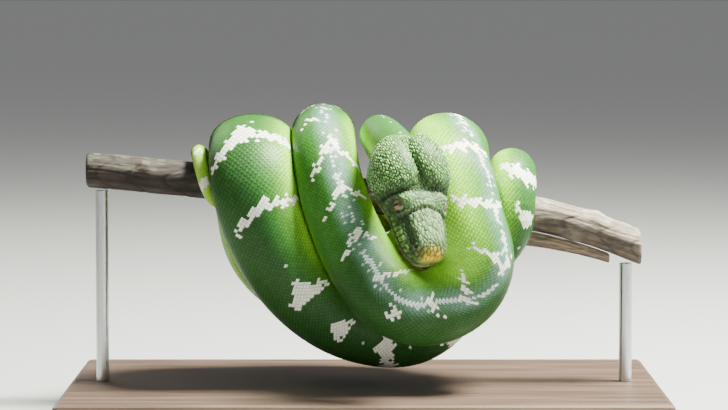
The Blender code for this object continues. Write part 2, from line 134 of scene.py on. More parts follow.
bodyShape = {
    # the neck's points, turns and drift of the tail, step along the route, how far touching
    # coils press into each other, and the gap that is left between their surfaces
    "neck": [(0.0187, -0.0560, 0.0245), (0.0140, -0.0400, 0.0298), (0.0100, -0.0190, 0.0330)],
    "splineSteps": 20,                         # from each control point to the next
    "tailTurns": 0.70, "tailDrift": 0.018, "tailThinning": 0.0045, "step": 0.004,
    "squeeze": 0.12, "contactGap": 0.0007, "branchGap": 0.0012,
    # settling: rounds, pull back to the first route, pull against kinks and against bends,
    # and the tightest bend, in body thicknesses, that may stay
    "rounds": 500, "hold": 0.035, "stiff": 0.2, "slack": 0.006, "unbend": 0.8, "tightest": 0.80,
    # thicknesses along the route within which two points don't push each other
    "neighbours": 1.7,
    # the belly is flatter below this cosine by this share; bends keep this share of a radius
    "bellyFrom": -0.55, "bellyShare": 0.80, "bendShare": 0.88,
    # half thickness at the landmarks, then height as a share of width
    "girth": {"nape": 0.0118, "crestC": 0.0110, "innerBack": 0.0142, "crestB": 0.0172,
              "innerFront": 0.0200, "crestD": 0.0222, "middleBack": 0.0234, "crestA": 0.0236,
              "outerFront": 0.0206, "crestE": 0.0128, "outerBack": 0.0096, "crestT": 0.0045,
              "tailFront": 0.0036, "tip": 0.0009},
    "tallness": {"nape": 1.0, "crestD": 0.86, "middleBack": 1.0, "crestA": 0.67,
                 "outerFront": 1.0, "tip": 1.0},
    # which way the middle of the back faces
    "ridge": {"nape": (0.35, -1, 0.6), "crestC": (0, 0, 1), "innerBack": (0, 1, 0.3),
              "crestB": (0, 0, 1), "innerFrontDown": (0.33, -1, 0.1),
              "innerFront": (0, -1, 0.25), "innerFrontUp": (1.35, -1, 0.1),
              "crestD": (0.25, -0.1, 1), "middleBack": (0, 1, -0.2), "crestA": (0, -0.1, 1),
              "outerFrontDown": (0, -1, 0.05), "outerFront": (0, -1, -0.45),
              "outerFrontUp": (1, -1, -0.2), "crestE": (0.5, -0.1, 1),
              "outerBack": (0, 1, -1), "crestT": (-0.2, 0, 1), "tailFront": (-0.2, -1, 0.1),
              "tip": (0.1, 0.2, -1)},
}
thickest = max(bodyShape["girth"].values())
perch = {"halfLength": 0.150, "radius": 0.0093, "slope": -0.095, "droop": 2.2,
         "droopStart": 0.070, "twigStart": 0.082, "twigEnd": 0.133, "twigRadius": 0.0040,
         "gap": 0.0003}


def branchHeight(x):
    # height of the branch's axis: a slope times x, less the droop times the square of how far
    # x is past the droop's start
    return perch["slope"] * x - perch["droop"] * np.clip(x - perch["droopStart"], 0, None) ** 2


def halfTurn(turn, count=17):
    # an arch over one crest, down to the low point and up to the next crest: height falls
    # with the sine of an angle that runs from one crest to the other, x moves with its
    # cosine, and the depth follows a circle of the crest's rise
    share = np.linspace(0, 1, count)[:-1]
    angle = math.pi * (share - 0.8 * np.sin(2 * math.pi * share) / (2 * math.pi))
    first = angle < math.pi / 2
    pick = {key: np.where(first, *turn[key]) for key in ("crests", "rises", "reach", "swell")}
    lowX, lowY, lowZ = turn["low"]
    down, across = np.sin(angle), np.abs(np.cos(angle))
    top = pick["rises"] + branchHeight(pick["crests"])
    drop = (top - lowZ) * down
    arch = np.sqrt(1 - np.clip(1 - drop / pick["rises"], 0, 1) ** 2)
    x = lowX + (pick["crests"] - lowX) * across
    x = x + pick["swell"] * np.abs(np.sin(2 * angle)) ** 1.5
    y = turn["side"] * pick["reach"] * arch * (1 - down ** 3) + lowY * down ** 3
    return np.column_stack([x, y, top - drop])


def controlPoints():
    # the neck, every half turn, and a tail wound round the branch as a spiral that drifts
    # along it; marks tell which point is which landmark
    marks, parts, count = {"nape": 0}, [np.array(bodyShape["neck"])], len(bodyShape["neck"])
    for crest, turn in zip(crestNames, halfTurns):
        part = halfTurn(turn)
        marks[crest] = count
        marks[turn["name"]] = count + len(part) // 2
        parts.append(part)
        count += len(part)
    angle = np.linspace(0, 2 * math.pi * bodyShape["tailTurns"], 15)
    share = angle / angle[-1]
    standoff = halfTurns[-1]["rises"][1] - bodyShape["tailThinning"] * share
    x = halfTurns[-1]["crests"][1] + bodyShape["tailDrift"] * share ** 1.5
    parts.append(np.column_stack([x, -standoff * np.sin(angle),
                                  branchHeight(x) + standoff * np.cos(angle)]))
    marks["crestT"], marks["tip"] = count, count + len(share) - 1
    return np.vstack(parts), marks


def through(points):
    # Catmull and Rom's spline through the points, in even steps from each to the next
    p = np.vstack([2 * points[0] - points[1], points, 2 * points[-1] - points[-2]])
    t = np.linspace(0, 1, bodyShape["splineSteps"], endpoint=False)[None, :, None]
    a, b, c, d = (p[k:len(p) - 3 + k, None] for k in range(4))
    line = b + 0.5 * ((c - a) * t + (2 * a - 5 * b + 4 * c - d) * t ** 2
                      + (3 * b - a - 3 * c + d) * t ** 3)
    return np.vstack([line.reshape(-1, 3), points[-1:]])


def walked(points):
    # running sum of the distances from point to point
    return np.concatenate([[0], np.cumsum(np.linalg.norm(np.diff(points, axis=0), axis=1))])


def easing(xs, ys, at):
    # a cubic through (xs, ys) that doesn't overshoot between them
    ys = np.asarray(ys, float)
    ys = ys[:, None] if ys.ndim == 1 else ys
    h = np.diff(xs)[:, None]
    rise = np.diff(ys, axis=0) / h
    both = rise[:-1] * rise[1:]
    slope = np.zeros_like(ys)
    slope[1:-1] = np.where(both > 0,
                           2 * both / np.where(both > 0, rise[:-1] + rise[1:], 1), 0)
    slope[0], slope[-1] = rise[0], rise[-1]
    k = np.clip(np.searchsorted(xs, at, side="right") - 1, 0, len(xs) - 2)
    t = ((at - xs[k]) / (xs[k + 1] - xs[k]))[:, None]
    out = ((2 * t ** 3 - 3 * t ** 2 + 1) * ys[k] + (t ** 3 - 2 * t ** 2 + t) * h[k] * slope[k]
           + (3 * t ** 2 - 2 * t ** 3) * ys[k + 1] + (t ** 3 - t ** 2) * h[k] * slope[k + 1])
    return out[:, 0] if out.shape[1] == 1 else out


def landmarkBlend(at, where, table):
    # values given at named landmarks, eased along the route between them
    names = sorted(table, key=lambda name: where[name])
    return easing(np.array([where[name] for name in names]),
                  np.array([table[name] for name in names], float), at)


def settle(line, thick, tall, fixed=5):
    # in each round, points of different coils that are nearer than their thicknesses push each
    # other half the way apart, and so does the branch; then every point moves towards the
    # middle of its neighbours, more where the bend is too tight, and back to its first place
    goal, p, count = line.copy(), line.copy(), len(line)
    squeeze, step = bodyShape["squeeze"], bodyShape["step"]
    apart = np.abs(np.arange(count)[:, None] - np.arange(count)) * step
    need = (thick[:, None] + thick) * (1 - squeeze)
    far = apart > bodyShape["neighbours"] * (thick[:, None] + thick)
    for _ in range(bodyShape["rounds"]):
        gap = p[:, None] - p[None]
        dist = np.sqrt((gap ** 2).sum(-1)) + 1e-9
        push = np.where(far, np.clip(need - dist, 0, None), 0)
        touching = np.maximum((push > 0).sum(1), 1)[:, None]
        p = p + 0.5 * (gap * (push / dist)[..., None]).sum(1) / touching
        off = np.column_stack([0 * p[:, 0], p[:, 1], p[:, 2] - branchHeight(p[:, 0])])
        away = np.linalg.norm(off, axis=1) + 1e-9
        short = np.clip(perch["radius"] + thick * tall * (1 - squeeze) - away, 0, None)
        p = p + 0.5 * off * (short / away)[:, None]
        bow, stiff = np.zeros_like(p), np.zeros_like(p)
        bow[1:-1] = 0.5 * (p[:-2] + p[2:]) - p[1:-1]
        stiff[2:-2] = 2 * bow[2:-2] - bow[1:-3] - bow[3:-1]
        pace = np.linalg.norm(p[2:] - p[:-2], axis=1) / 2
        tight = np.zeros(count)
        bending = 2 * np.linalg.norm(bow[1:-1], axis=1) / pace ** 2 * thick[1:-1]
        tight[1:-1] = np.clip(bending - bodyShape["tightest"], 0, 0.5)
        for _ in range(3):
            tight[1:-1] = (tight[:-2] + tight[1:-1] + tight[2:]) / 3
        give = bodyShape["slack"] + bodyShape["unbend"] * tight
        p = p + bodyShape["stiff"] * stiff + give[:, None] * bow
        calm = bodyShape["hold"] * (1 - 0.8 * np.clip(tight * 4, 0, 1))[:, None]
        p = p + calm * (goal - p)
        p[:fixed] = goal[:fixed]
    return p


def unit(v):
    # each vector divided by its own length
    return v / np.maximum(np.linalg.norm(v, axis=-1, keepdims=True), 1e-12)


def bodyRoute():
    # the control points' spline cut into even steps and settled; thickness, direction and
    # the ridge's direction are worked out at each step
    points, marks = controlPoints()
    fine = through(points)
    along = walked(fine)
    at = np.linspace(0, along[-1], int(round(along[-1] / bodyShape["step"])) + 1)
    where = {name: along[bodyShape["splineSteps"] * number] for name, number in marks.items()}
    for crest, turn, after in zip(crestNames, halfTurns, crestNames[1:]):
        where[turn["name"] + "Down"] = 0.45 * where[crest] + 0.55 * where[turn["name"]]
        where[turn["name"] + "Up"] = 0.55 * where[turn["name"]] + 0.45 * where[after]
    where["tailFront"] = 0.65 * where["crestT"] + 0.35 * where["tip"]
    even = np.column_stack([np.interp(at, along, fine[:, axis]) for axis in range(3)])
    thick = landmarkBlend(at, where, bodyShape["girth"])
    tall = landmarkBlend(at, where, bodyShape["tallness"])
    line = settle(even, thick, tall)
    way = unit(np.gradient(line, axis=0))
    ridge = landmarkBlend(at, where, bodyShape["ridge"])
    ridge = unit(ridge - way * (ridge * way).sum(1)[:, None])
    return {"at": at, "line": line, "thick": thick, "tall": tall, "way": way, "ridge": ridge}


skinInset = 0.0004       # the skin lies this far inside, and the scales make it up


def bodyRings(body, stations, sides):
    # an oval carried along the route, pressed flat where coils or the branch touch it and
    # held in on the inside of bends; angle 0 is the ridge of the back
    at, line, thick, tall = (body[key] for key in ("at", "line", "thick", "tall"))
    columns = lambda values: easing(at, values, stations)
    middle, along, up = columns(line), unit(columns(body["way"])), columns(body["ridge"])
    up = unit(up - along * (up * along).sum(1)[:, None])
    side = np.cross(along, up)
    wide, high = columns(thick), columns(thick * tall)
    angle = np.linspace(0, 2 * math.pi, sides, endpoint=False)
    lean, rise = np.sin(angle), np.cos(angle)
    flat = bodyShape["bellyFrom"]
    rise = np.where(rise < flat, flat + bodyShape["bellyShare"] * (rise - flat), rise)
    arrow = (up[:, None] * (rise * high[:, None])[..., None]
             + side[:, None] * (lean * wide[:, None])[..., None])
    bend = np.gradient(body["way"], axis=0) / np.gradient(at)[:, None]
    inward = (arrow * columns(bend)[:, None]).sum(-1)
    arrow *= np.minimum(1, bodyShape["bendShare"] / np.maximum(inward, 1e-6))[..., None]
    arrow *= (1 - skinInset / np.maximum(np.linalg.norm(arrow, axis=-1), 1e-6))[..., None]
    share = np.ones(arrow.shape[:2])
    reach = np.linalg.norm(arrow, axis=-1)

    def freeOf(spot, own, ownWide, near):
        # how far a spot is from the other coils' surfaces
        away = spot[:, None] - line[near]
        dist = np.sqrt((away ** 2).sum(-1))
        tilt = (away * body["ridge"][near]).sum(-1) / np.maximum(dist, 1e-9)
        surface = thick[near] / np.sqrt(tilt ** 2 / tall[near] ** 2 + 1 - tilt ** 2)
        far = (np.abs(own[:, None] - at[near])
               > bodyShape["neighbours"] * (ownWide[:, None] + thick[near]))
        return np.where(far, dist - surface, 1).min(-1) - bodyShape["contactGap"]

    # each point looks only at the part of the line that is near it but far along the route,
    # and its share of the way out is halved in on until it is just free
    batch, margin, halvings = 24, 0.026, 10
    for first in range(0, len(stations), batch):
        rows = slice(first, first + batch)
        roots = np.broadcast_to(middle[rows, None], arrow[rows].shape).reshape(-1, 3)
        arrows, reaches = arrow[rows].reshape(-1, 3), reach[rows].ravel()
        own, ownWide = np.repeat(stations[rows], sides), np.repeat(wide[rows], sides)
        centre = roots.mean(0)
        size = np.linalg.norm(roots + arrows - centre, axis=1).max()
        near = np.flatnonzero(np.linalg.norm(line - centre, axis=1) < size + margin)
        full = np.ones(len(roots))
        low, todo = np.zeros(len(roots)), np.arange(len(roots))
        for step in range(halvings):
            trial = full if step == 0 else 0.5 * (low + full)
            spot = roots[todo] + arrows[todo] * trial[todo, None]
            free = freeOf(spot, own[todo], ownWide[todo], near)
            branch = np.hypot(spot[:, 1], spot[:, 2] - branchHeight(spot[:, 0]))
            ok = ((reaches[todo] * (trial[todo] - 1) <= free)
                  & (branch >= perch["radius"] + bodyShape["branchGap"]))
            low[todo] = np.where(ok, trial[todo], low[todo])
            full[todo] = np.where(ok, full[todo], trial[todo])
            if step == 0:
                todo = todo[~ok]
        share[rows] = low.reshape(-1, sides)
    return middle[:, None] + arrow * share[..., None]


body = bodyRoute()
print("body route", round(float(body["at"][-1]), 3), "m")

# the head
headShape = {
    "length": 0.0660, "way": (0.205, -0.460, -0.864), "roll": 20.0,
    # share of the length from the nape, half width, height, depth, crown narrowing
    "stations": [
        (0.00, 0.0118, 0.0118, 0.0107, 0.00), (0.05, 0.0150, 0.0127, 0.0112, 0.00),
        (0.11, 0.0187, 0.0136, 0.0119, 0.02), (0.17, 0.0207, 0.0140, 0.0124, 0.03),
        (0.23, 0.0215, 0.0141, 0.0126, 0.04), (0.29, 0.0217, 0.0137, 0.0126, 0.06),
        (0.345, 0.0215, 0.0130, 0.0123, 0.08), (0.39, 0.0209, 0.0120, 0.0120, 0.12),
        (0.43, 0.0202, 0.0108, 0.0117, 0.20), (0.47, 0.0195, 0.0102, 0.0113, 0.30),
        (0.52, 0.0184, 0.0107, 0.0110, 0.38), (0.57, 0.0170, 0.0110, 0.0108, 0.41),
        (0.65, 0.0153, 0.0103, 0.0106, 0.42), (0.73, 0.0147, 0.0098, 0.0103, 0.43),
        (0.81, 0.0139, 0.0093, 0.0099, 0.42), (0.88, 0.0127, 0.0085, 0.0094, 0.38),
        (0.94, 0.0107, 0.0064, 0.0091, 0.28), (0.98, 0.0085, 0.0042, 0.0085, 0.14),
        (1.00, 0.0064, 0.0025, 0.0077, 0.05), (1.008, 0.0045, 0.0013, 0.0062, 0.0),
        (1.011, 0.0, 0.0, 0.0, 0.0)],
    # the two swollen jaw muscles: where their middles are and how far they reach
    "lobeAt": 0.285, "lobeOut": 0.0114, "lobeFront": 0.165, "lobeBack": 0.290,
    "lobeWide": 0.0110, "lobeHigh": 0.0052,
    "mouth": -0.0030, "mouthFrom": 0.17,
    "eyeAt": 0.555, "eyeHigh": 0.0038, "eyeOut": 0.0125, "socket": 0.0046,
    # a lip plate's length, with a pit between each two, and the share where the row starts
    "lipFrom": 0.205, "lipPlate": 0.0455, "lipUp": 0.0019, "lipDown": -0.0021,
    "nostrilAt": 0.915, "nostrilHigh": 0.0042,
    "creaseAt": 0.615, "creaseLean": 3.0,      # the crease behind the snout runs in a V
    # hills and hollows of the crown: height, share and reach along, distance and reach across
    "crown": [
        (-0.0009, 0.62, 0.10, 0.004, 0.005),       # a dish between the brows
        (0.0021, 0.535, 0.050, 0.0105, 0.0032),    # the brows
        (0.0007, 0.80, 0.13, 0.0078, 0.0016),      # the snout's edges
        (-0.0006, 0.80, 0.10, 0.0, 0.0020)],       # and the hollow between them
}


def smooth(low, high, x):
    # 0 below low and 1 above high, three squares less two cubes between them
    t = np.clip((x - low) / (high - low), 0, 1)
    return t * t * (3 - 2 * t)


def within(x, rise, fall):
    # 1 between two pairs of limits: up over the first pair and down over the second
    return smooth(*rise, x) * (1 - smooth(*fall, x))


def hill(x, middle, width):
    # a bell curve of height 1
    return np.exp(-((x - middle) / width) ** 2)


def headFrame(shares):
    # centre line that leaves the neck's direction for the head's own over its first third, as
    # a running sum of short steps, with its up direction turning from the back's ridge to the
    # rolled crown
    fine = np.linspace(0, 1.02, 206)
    neckWay, headWay = -body["way"][0], unit(np.array(headShape["way"]))
    turn = smooth(0, 0.34, fine)[:, None]
    ways = unit(neckWay * (1 - turn) + headWay * turn)
    steps = 0.5 * (ways[1:] + ways[:-1]) * (np.diff(fine) * headShape["length"])[:, None]
    centres = np.vstack([body["line"][0], body["line"][0] + np.cumsum(steps, axis=0)])
    upright = np.array([0, -0.5, 1.0])
    upright = unit(upright - ways * (ways @ upright)[:, None])
    across = np.cross(ways, upright)
    roll = math.radians(headShape["roll"]) * smooth(0.15, 0.53, fine)[:, None]
    ups = upright * np.cos(roll) - across * np.sin(roll)
    late = smooth(0, 0.15, fine)[:, None]
    ups = body["ridge"][0] * (1 - late) + ups * late
    ups = unit(ups - ways * (ways * ups).sum(1)[:, None])
    pick = lambda values: np.column_stack([np.interp(shares, fine, c) for c in values.T])
    centres, ways, ups = pick(centres), unit(pick(ways)), unit(pick(ups))
    return centres, ways, ups, np.cross(ways, ups)


def lipStep(share):
    # distance from the nearest pit in the lip, in lip plates
    count = (share - headShape["lipFrom"]) / headShape["lipPlate"]
    return count - np.round(count)


def headPoints(shares, angles):
    # oval sections from the table with a squared crown; two half ellipsoids for the jaw lobes;
    # hills and hollows for brows, eye sockets, cheeks, lips, pits, nostrils and folds
    table = np.array(headShape["stations"])
    wide, high, deep, narrow = easing(table[:, 0], table[:, 1:], shares).T
    share = shares[:, None]
    lean, rise = -np.sin(angles)[None], np.cos(angles)[None]
    square = 1 - 0.26 * smooth(0.34, 0.46, share) + 0.14 * smooth(0.90, 0.99, share)
    x = wide[:, None] * np.sign(lean) * np.abs(lean) ** square
    z = np.where(rise > 0, high[:, None], deep[:, None]) * np.sign(rise) * np.abs(rise) ** square
    lift = np.clip(z / np.maximum(high[:, None], 1e-6), 0, 1)
    x = x * (1 - narrow[:, None] * lift)
    side = np.abs(x)
    top = smooth(0.0, 0.005, z)
    # jaw lobes, steep at their front edges, with the cleft between them
    ahead = share - headShape["lobeAt"]
    off = (((side - headShape["lobeOut"]) / headShape["lobeWide"]) ** 2
           + (ahead / np.where(ahead > 0, headShape["lobeFront"], headShape["lobeBack"])) ** 2)
    swell = np.clip(1 - off, 0, 1) ** 0.5
    z = z + headShape["lobeHigh"] * swell * top
    x = x * (1 + 0.035 * swell * (1 - top))
    # crown: a shallow dish between raised brows, a crease, then the snout's edges
    for height, at, long, out, across in headShape["crown"]:
        z = z + height * top * hill(share, at, long) * hill(side, out, across)
    crease = headShape["creaseAt"] + headShape["creaseLean"] * side
    z = z - 0.0010 * top * hill(share, crease, 0.014)
    x = x * (1 + 0.10 * top * hill(share, 0.535, 0.045))
    # cheeks: hollow between the snout's edge and the lips, folds behind the jaw's corner
    cheek = hill(z, 0.0030, 0.0026)
    pull = 0.0016 * within(share, (0.60, 0.70), (0.86, 0.93)) * cheek
    pull = pull + 0.0012 * hill(share, 0.475, 0.030) * hill(z, 0.003, 0.004)
    # eye sockets
    spot = np.hypot((share - headShape["eyeAt"]) * headShape["length"],
                    z - headShape["eyeHigh"])
    pull = pull + 0.0017 * np.clip(1 - (spot / headShape["socket"]) ** 2, 0, 1)
    pull = pull - 0.0006 * hill(spot, headShape["socket"] + 0.0004, 0.0009)
    # mouth line and lips
    along = smooth(headShape["mouthFrom"], headShape["mouthFrom"] + 0.06, share)
    bow = 0.0006 * hill(share, 0.85, 0.1) - 0.0008 * hill(share, 0.40, 0.12)
    lip = z - (headShape["mouth"] + bow)
    up, down = headShape["lipUp"], headShape["lipDown"]
    pull = pull + along * (0.0009 * hill(lip, 0, 0.00040) - 0.0006 * hill(lip, up, 0.0014)
                           - 0.0005 * hill(lip, -up, 0.0014))
    # a row of pits in the lips, one between each two lip plates
    pit = hill(lipStep(share), 0, 0.17) * along
    pull = pull + 0.0008 * pit * (hill(lip, down, 0.0008)
                                  + 0.9 * smooth(0.55, 0.62, share) * hill(lip, up, 0.0008))
    shrink = 1 - pull / np.maximum(np.hypot(x, z), 0.0025)
    x, z = x * shrink, z * shrink
    # nostrils
    hole = np.hypot((share - headShape["nostrilAt"]) * headShape["length"],
                    z - headShape["nostrilHigh"]) / 0.8
    x = x * (1 - 0.16 * hill(hole, 0, 0.0008))
    x = x * (1 + 0.04 * hill(hole, 0.0016, 0.0006))
    # soft folds of loose skin across the nape and the throat
    fold = 0.00022 * np.sin(2 * math.pi * share / 0.045) * (1 - smooth(0.10, 0.16, share))
    x, z = x * (1 + fold / 0.012), z * (1 + fold / 0.012)
    centres, ways, ups, sides = headFrame(shares)
    return centres[:, None] + sides[:, None] * x[..., None] + ups[:, None] * z[..., None]


def surfaceRings(places, sides):
    # places run from minus the head's length at the muzzle, over 0 at the nape, to the tail
    angles = np.linspace(0, 2 * math.pi, sides, endpoint=False)
    onHead = places < 0
    rings = np.zeros((len(places), sides, 3))
    if onHead.any():
        shares = -places[onHead] / headShape["length"]
        rings[onHead] = headPoints(shares, angles)
        neckLike = bodyRings(body, np.array([0.0]), sides)[0] - body["line"][0]
        centres, ways, ups, sideways = headFrame(shares)
        _, _, firstUp, firstSide = headFrame(np.array([0.0]))
        local = np.column_stack([neckLike @ firstSide[0], neckLike @ firstUp[0]])
        plain = (centres[:, None] + sideways[:, None] * local[None, :, :1]
                 + ups[:, None] * local[None, :, 1:])
        mix = smooth(0.0, 0.07, shares)[:, None, None]
        rings[onHead] = plain * (1 - mix) + rings[onHead] * mix
    if (~onHead).any():
        rings[~onHead] = bodyRings(body, places[~onHead], sides)
    return rings


# meshes
def meshObject(name, points, faces, material, smoothShade=True):
    # faces is an array of triangles or of quads
    mesh = bpy.data.meshes.new(name)
    faces = np.asarray(faces)
    each = faces.shape[1]
    mesh.vertices.add(len(points))
    mesh.vertices.foreach_set("co", np.ascontiguousarray(points, np.float32).ravel())
    mesh.loops.add(faces.size)
    mesh.loops.foreach_set("vertex_index", np.ascontiguousarray(faces, np.int32).ravel())
    mesh.polygons.add(len(faces))
    mesh.polygons.foreach_set("loop_start", np.arange(0, faces.size, each, dtype=np.int32))
    mesh.update(calc_edges=True)
    mesh.polygons.foreach_set("use_smooth", np.full(len(faces), smoothShade))
    if material:
        mesh.materials.append(material)
    thing = bpy.data.objects.new(name, mesh)
    bpy.context.scene.collection.objects.link(thing)
    return thing


def gridFaces(rows, sides, first=0):
    # quads between neighbouring rings that close on themselves
    i, j = np.meshgrid(np.arange(rows - 1), np.arange(sides), indexing="ij")
    k = (j + 1) % sides
    faces = np.stack([i * sides + j, (i + 1) * sides + j, (i + 1) * sides + k,
                      i * sides + k], -1)
    return faces.reshape(-1, 4) + first


def asTriangles(quads):
    # each quad cut along the diagonal from its first corner
    return np.vstack([quads[:, [0, 1, 2]], quads[:, [0, 2, 3]]])


def paintPoints(thing, shades, name="tint"):
    # one colour for each point
    layer = thing.data.attributes.new(name, "FLOAT_COLOR", "POINT")
    full = np.column_stack([shades, np.ones(len(shades))])
    layer.data.foreach_set("color", full.astype(np.float32).ravel())


def addBakeMap(thing, pointUv):
    # every corner takes its point's place on the map
    layer = thing.data.uv_layers.new(name="OFBake")
    corners = np.zeros(len(thing.data.loops), np.int32)
    thing.data.loops.foreach_get("vertex_index", corners)
    layer.data.foreach_set("uv", pointUv[corners].astype(np.float32).ravel())


def ridePiece(thing, slot, *nodes):
    # a piece that stays with the body and, for nodes given, takes their place
    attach(thing, "root")
    if nodes:
        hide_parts(*nodes)
    return thing


# colours and markings
# several colours below stand in for light: the darkest body green, the dark of pits and grooves,
# and the cheek and jaw greens are painted shade; the tail's bright green is painted light; the
# ridge's blue is partly a painted sheen
colours = {
    "ridgeGreen": (0.030, 0.120, 0.022), "backGreen": (0.044, 0.165, 0.022),
    "shadowGreen": (0.022, 0.072, 0.018), "flankGreen": (0.250, 0.600, 0.035),
    "edgeYellow": (0.400, 0.480, 0.025), "bellyYellow": (0.620, 0.610, 0.270),
    "ridgeBlueSheen": (0.160, 0.285, 0.245),
    "enamelWhite": (0.780, 0.800, 0.700), "fleckWhite": (0.590, 0.680, 0.660),
    "crownGreen": (0.080, 0.168, 0.052), "lobeGreen": (0.185, 0.385, 0.115),
    "cheekShadeGreen": (0.028, 0.060, 0.020), "snoutGrey": (0.105, 0.185, 0.072),
    "lipYellow": (0.480, 0.340, 0.004), "jawShadeGreen": (0.060, 0.090, 0.026),
    "throatYellow": (0.420, 0.430, 0.160), "recessShadeDark": (0.014, 0.024, 0.012),
    "tailLitGreen": (0.420, 0.740, 0.080),
}
colours = {name: np.array(value) for name, value in colours.items()}

# bars across the back: how far from the ridge the peak reaches and how much it leads, the
# wings' tips, how far the first bars of the outer loop sit to one side, and the hidden pace
barShape = {"peakReach": 0.0045, "peakLead": 0.28, "taper": 0.006, "tipShare": 0.60,
            "asideBy": 0.0065, "asideAt": 0.786, "asideReach": 0.014, "pace": 0.0262}
crossBars = [
    # place of the peak on the ridge, how fast the left and right wings fall back towards the
    # tail, how far they reach, the peak's length along the body and the wings' width
    (0.2545, 0.30, 0.30, 0.014, -0.004, 0.0024, 0.0024),
    (0.2690, 0.90, 0.70, 0.016, 0.019, 0.0046, 0.0026),
    (0.2885, 0.95, 0.65, 0.014, 0.015, 0.0040, 0.0026),
    (0.3150, 0.90, 0.90, 0.014, 0.010, 0.0046, 0.0026),
    (0.3450, 0.55, 0.55, 0.006, 0.024, 0.0030, 0.0026),
    (0.3600, 0.10, 0.20, 0.0125, -0.0045, 0.0020, 0.0056),
    (0.3770, 0.50, 0.50, 0.009, 0.006, 0.0040, 0.0024),
    (0.3940, 0.62, 0.62, 0.004, 0.021, 0.0030, 0.0026),
    (0.4130, 0.58, 0.50, 0.007, 0.024, 0.0040, 0.0026),
    (0.4375, 0.34, 0.22, 0.010, 0.026, 0.0050, 0.0034),
    (0.4680, -0.10, -0.10, 0.009, 0.025, 0.0050, 0.0038),
    (0.7860, 0.55, 0.03, 0.0230, 0.0330, 0.0105, 0.0044),
    (0.8150, 0.50, 0.12, 0.0195, 0.0260, 0.0048, 0.0036),
    (0.8640, 0.30, 0.30, 0.0100, 0.0150, 0.0130, 0.0050),
    (0.8920, 0.30, 0.30, 0.0060, 0.0090, 0.0100, 0.0050),
    (0.9200, 0.20, 0.20, 0.0220, 0.0220, 0.0095, 0.0060),
    (0.9500, 0.10, 0.20, 0.0190, 0.0080, 0.0060, 0.0080),
    (0.9900, 0.40, 0.40, 0.0060, 0.0100, 0.0080, 0.0040),
    (1.0170, 0.30, 0.30, 0.0045, 0.0080, 0.0062, 0.0040),
    (1.0320, 0.20, 0.20, 0.0120, 0.0150, 0.0062, 0.0054),
    (1.3640, 0.20, 0.20, 0.0050, 0.0050, 0.0050, 0.0040),
]
# where the coils are out of sight the bars carry on at the same pace
for lowPlace, highPlace in ((0.060, 0.235), (0.500, 0.742), (1.058, 1.345)):
    count = int((highPlace - lowPlace) / barShape["pace"])
    for k, at in enumerate(np.linspace(lowPlace, highPlace, count)):
        size = float(np.interp(at, body["at"], body["thick"])) / thickest
        sway = math.sin(2.4 * k + at * 31)
        crossBars.append((float(at) + 0.003 * sway, 0.5 + 0.15 * sway, 0.4,
                          size * (0.018 + 0.003 * sway), size * (0.018 - 0.004 * sway),
                          0.0085 * size + 0.001, 0.0016 + 0.0024 * size))
crossBars = np.array(crossBars)


# shares of the way from the ridge to the belly's middle, and places along the body, over
# which one colour gives way to the next
zones = {
    "ridge": (0.16, 0.30), "flank": (0.26, 0.60), "edge": (0.66, 0.80), "belly": (0.80, 0.86),
    "blueSheen": (0.04, 0.19), "tail": (1.315, 1.345), "fleckOut": 0.0052,
    "innerCoil": ((0.20, 0.27), (0.47, 0.52)), "lit": ((0.23, 0.26), (1.06, 1.09)),
    "frontBend": ((0.325, 0.345), (0.405, 0.425)), "innerLowShade": ((0.310, 0.345), (0.405, 0.430)),
    "outerLowShade": ((0.775, 0.800), (0.985, 1.010)),
}


def mixed(a, b, share):
    # from a at 0 to b at 1
    return a + (b - a) * np.asarray(share)[..., None]


def jitter(*values):
    # an even scatter from 0 to 1 that depends only on the numbers given
    mixedUp = sum(np.asarray(v, float) * k for v, k in zip(values, (127.1, 311.7, 74.7)))
    return np.modf(np.abs(np.sin(mixedUp) * 43758.5453))[0]


def barShare(place, arc, rough):
    # 1 inside a cross bar: a band round a line that falls back from its peak on the ridge;
    # the first bars of the outer loop sit to one side of it
    arc = arc - barShape["asideBy"] * hill(place, barShape["asideAt"], barShape["asideReach"])
    white = np.zeros(len(place))
    for at, fallLeft, fallRight, left, right, core, wing in crossBars:
        near = np.flatnonzero(np.abs(place - at) < 0.045)
        if not len(near):
            continue
        a = arc[near]
        middle = at + np.where(a > 0, fallLeft, fallRight) * np.abs(a)
        middle = middle + 0.0009 * np.sin(a * 900 + at * 700)
        middle = middle + 0.0006 * np.sin(a * 2100 + at * 90)
        peak = hill(a, 0, barShape["peakReach"])
        half = 0.5 * (wing + (core - wing) * peak)
        middle = middle - barShape["peakLead"] * (core - wing) * peak
        inside = (a < left) & (a > -right)
        taper = np.clip(np.minimum(left - a, a + right) / barShape["taper"], 0, 1)
        reach = half * (barShape["tipShare"] + (1 - barShape["tipShare"]) * taper) + rough[near]
        hit = inside & (np.abs(place[near] - middle) < reach)
        white[near] = np.maximum(white[near], hit)
    return white


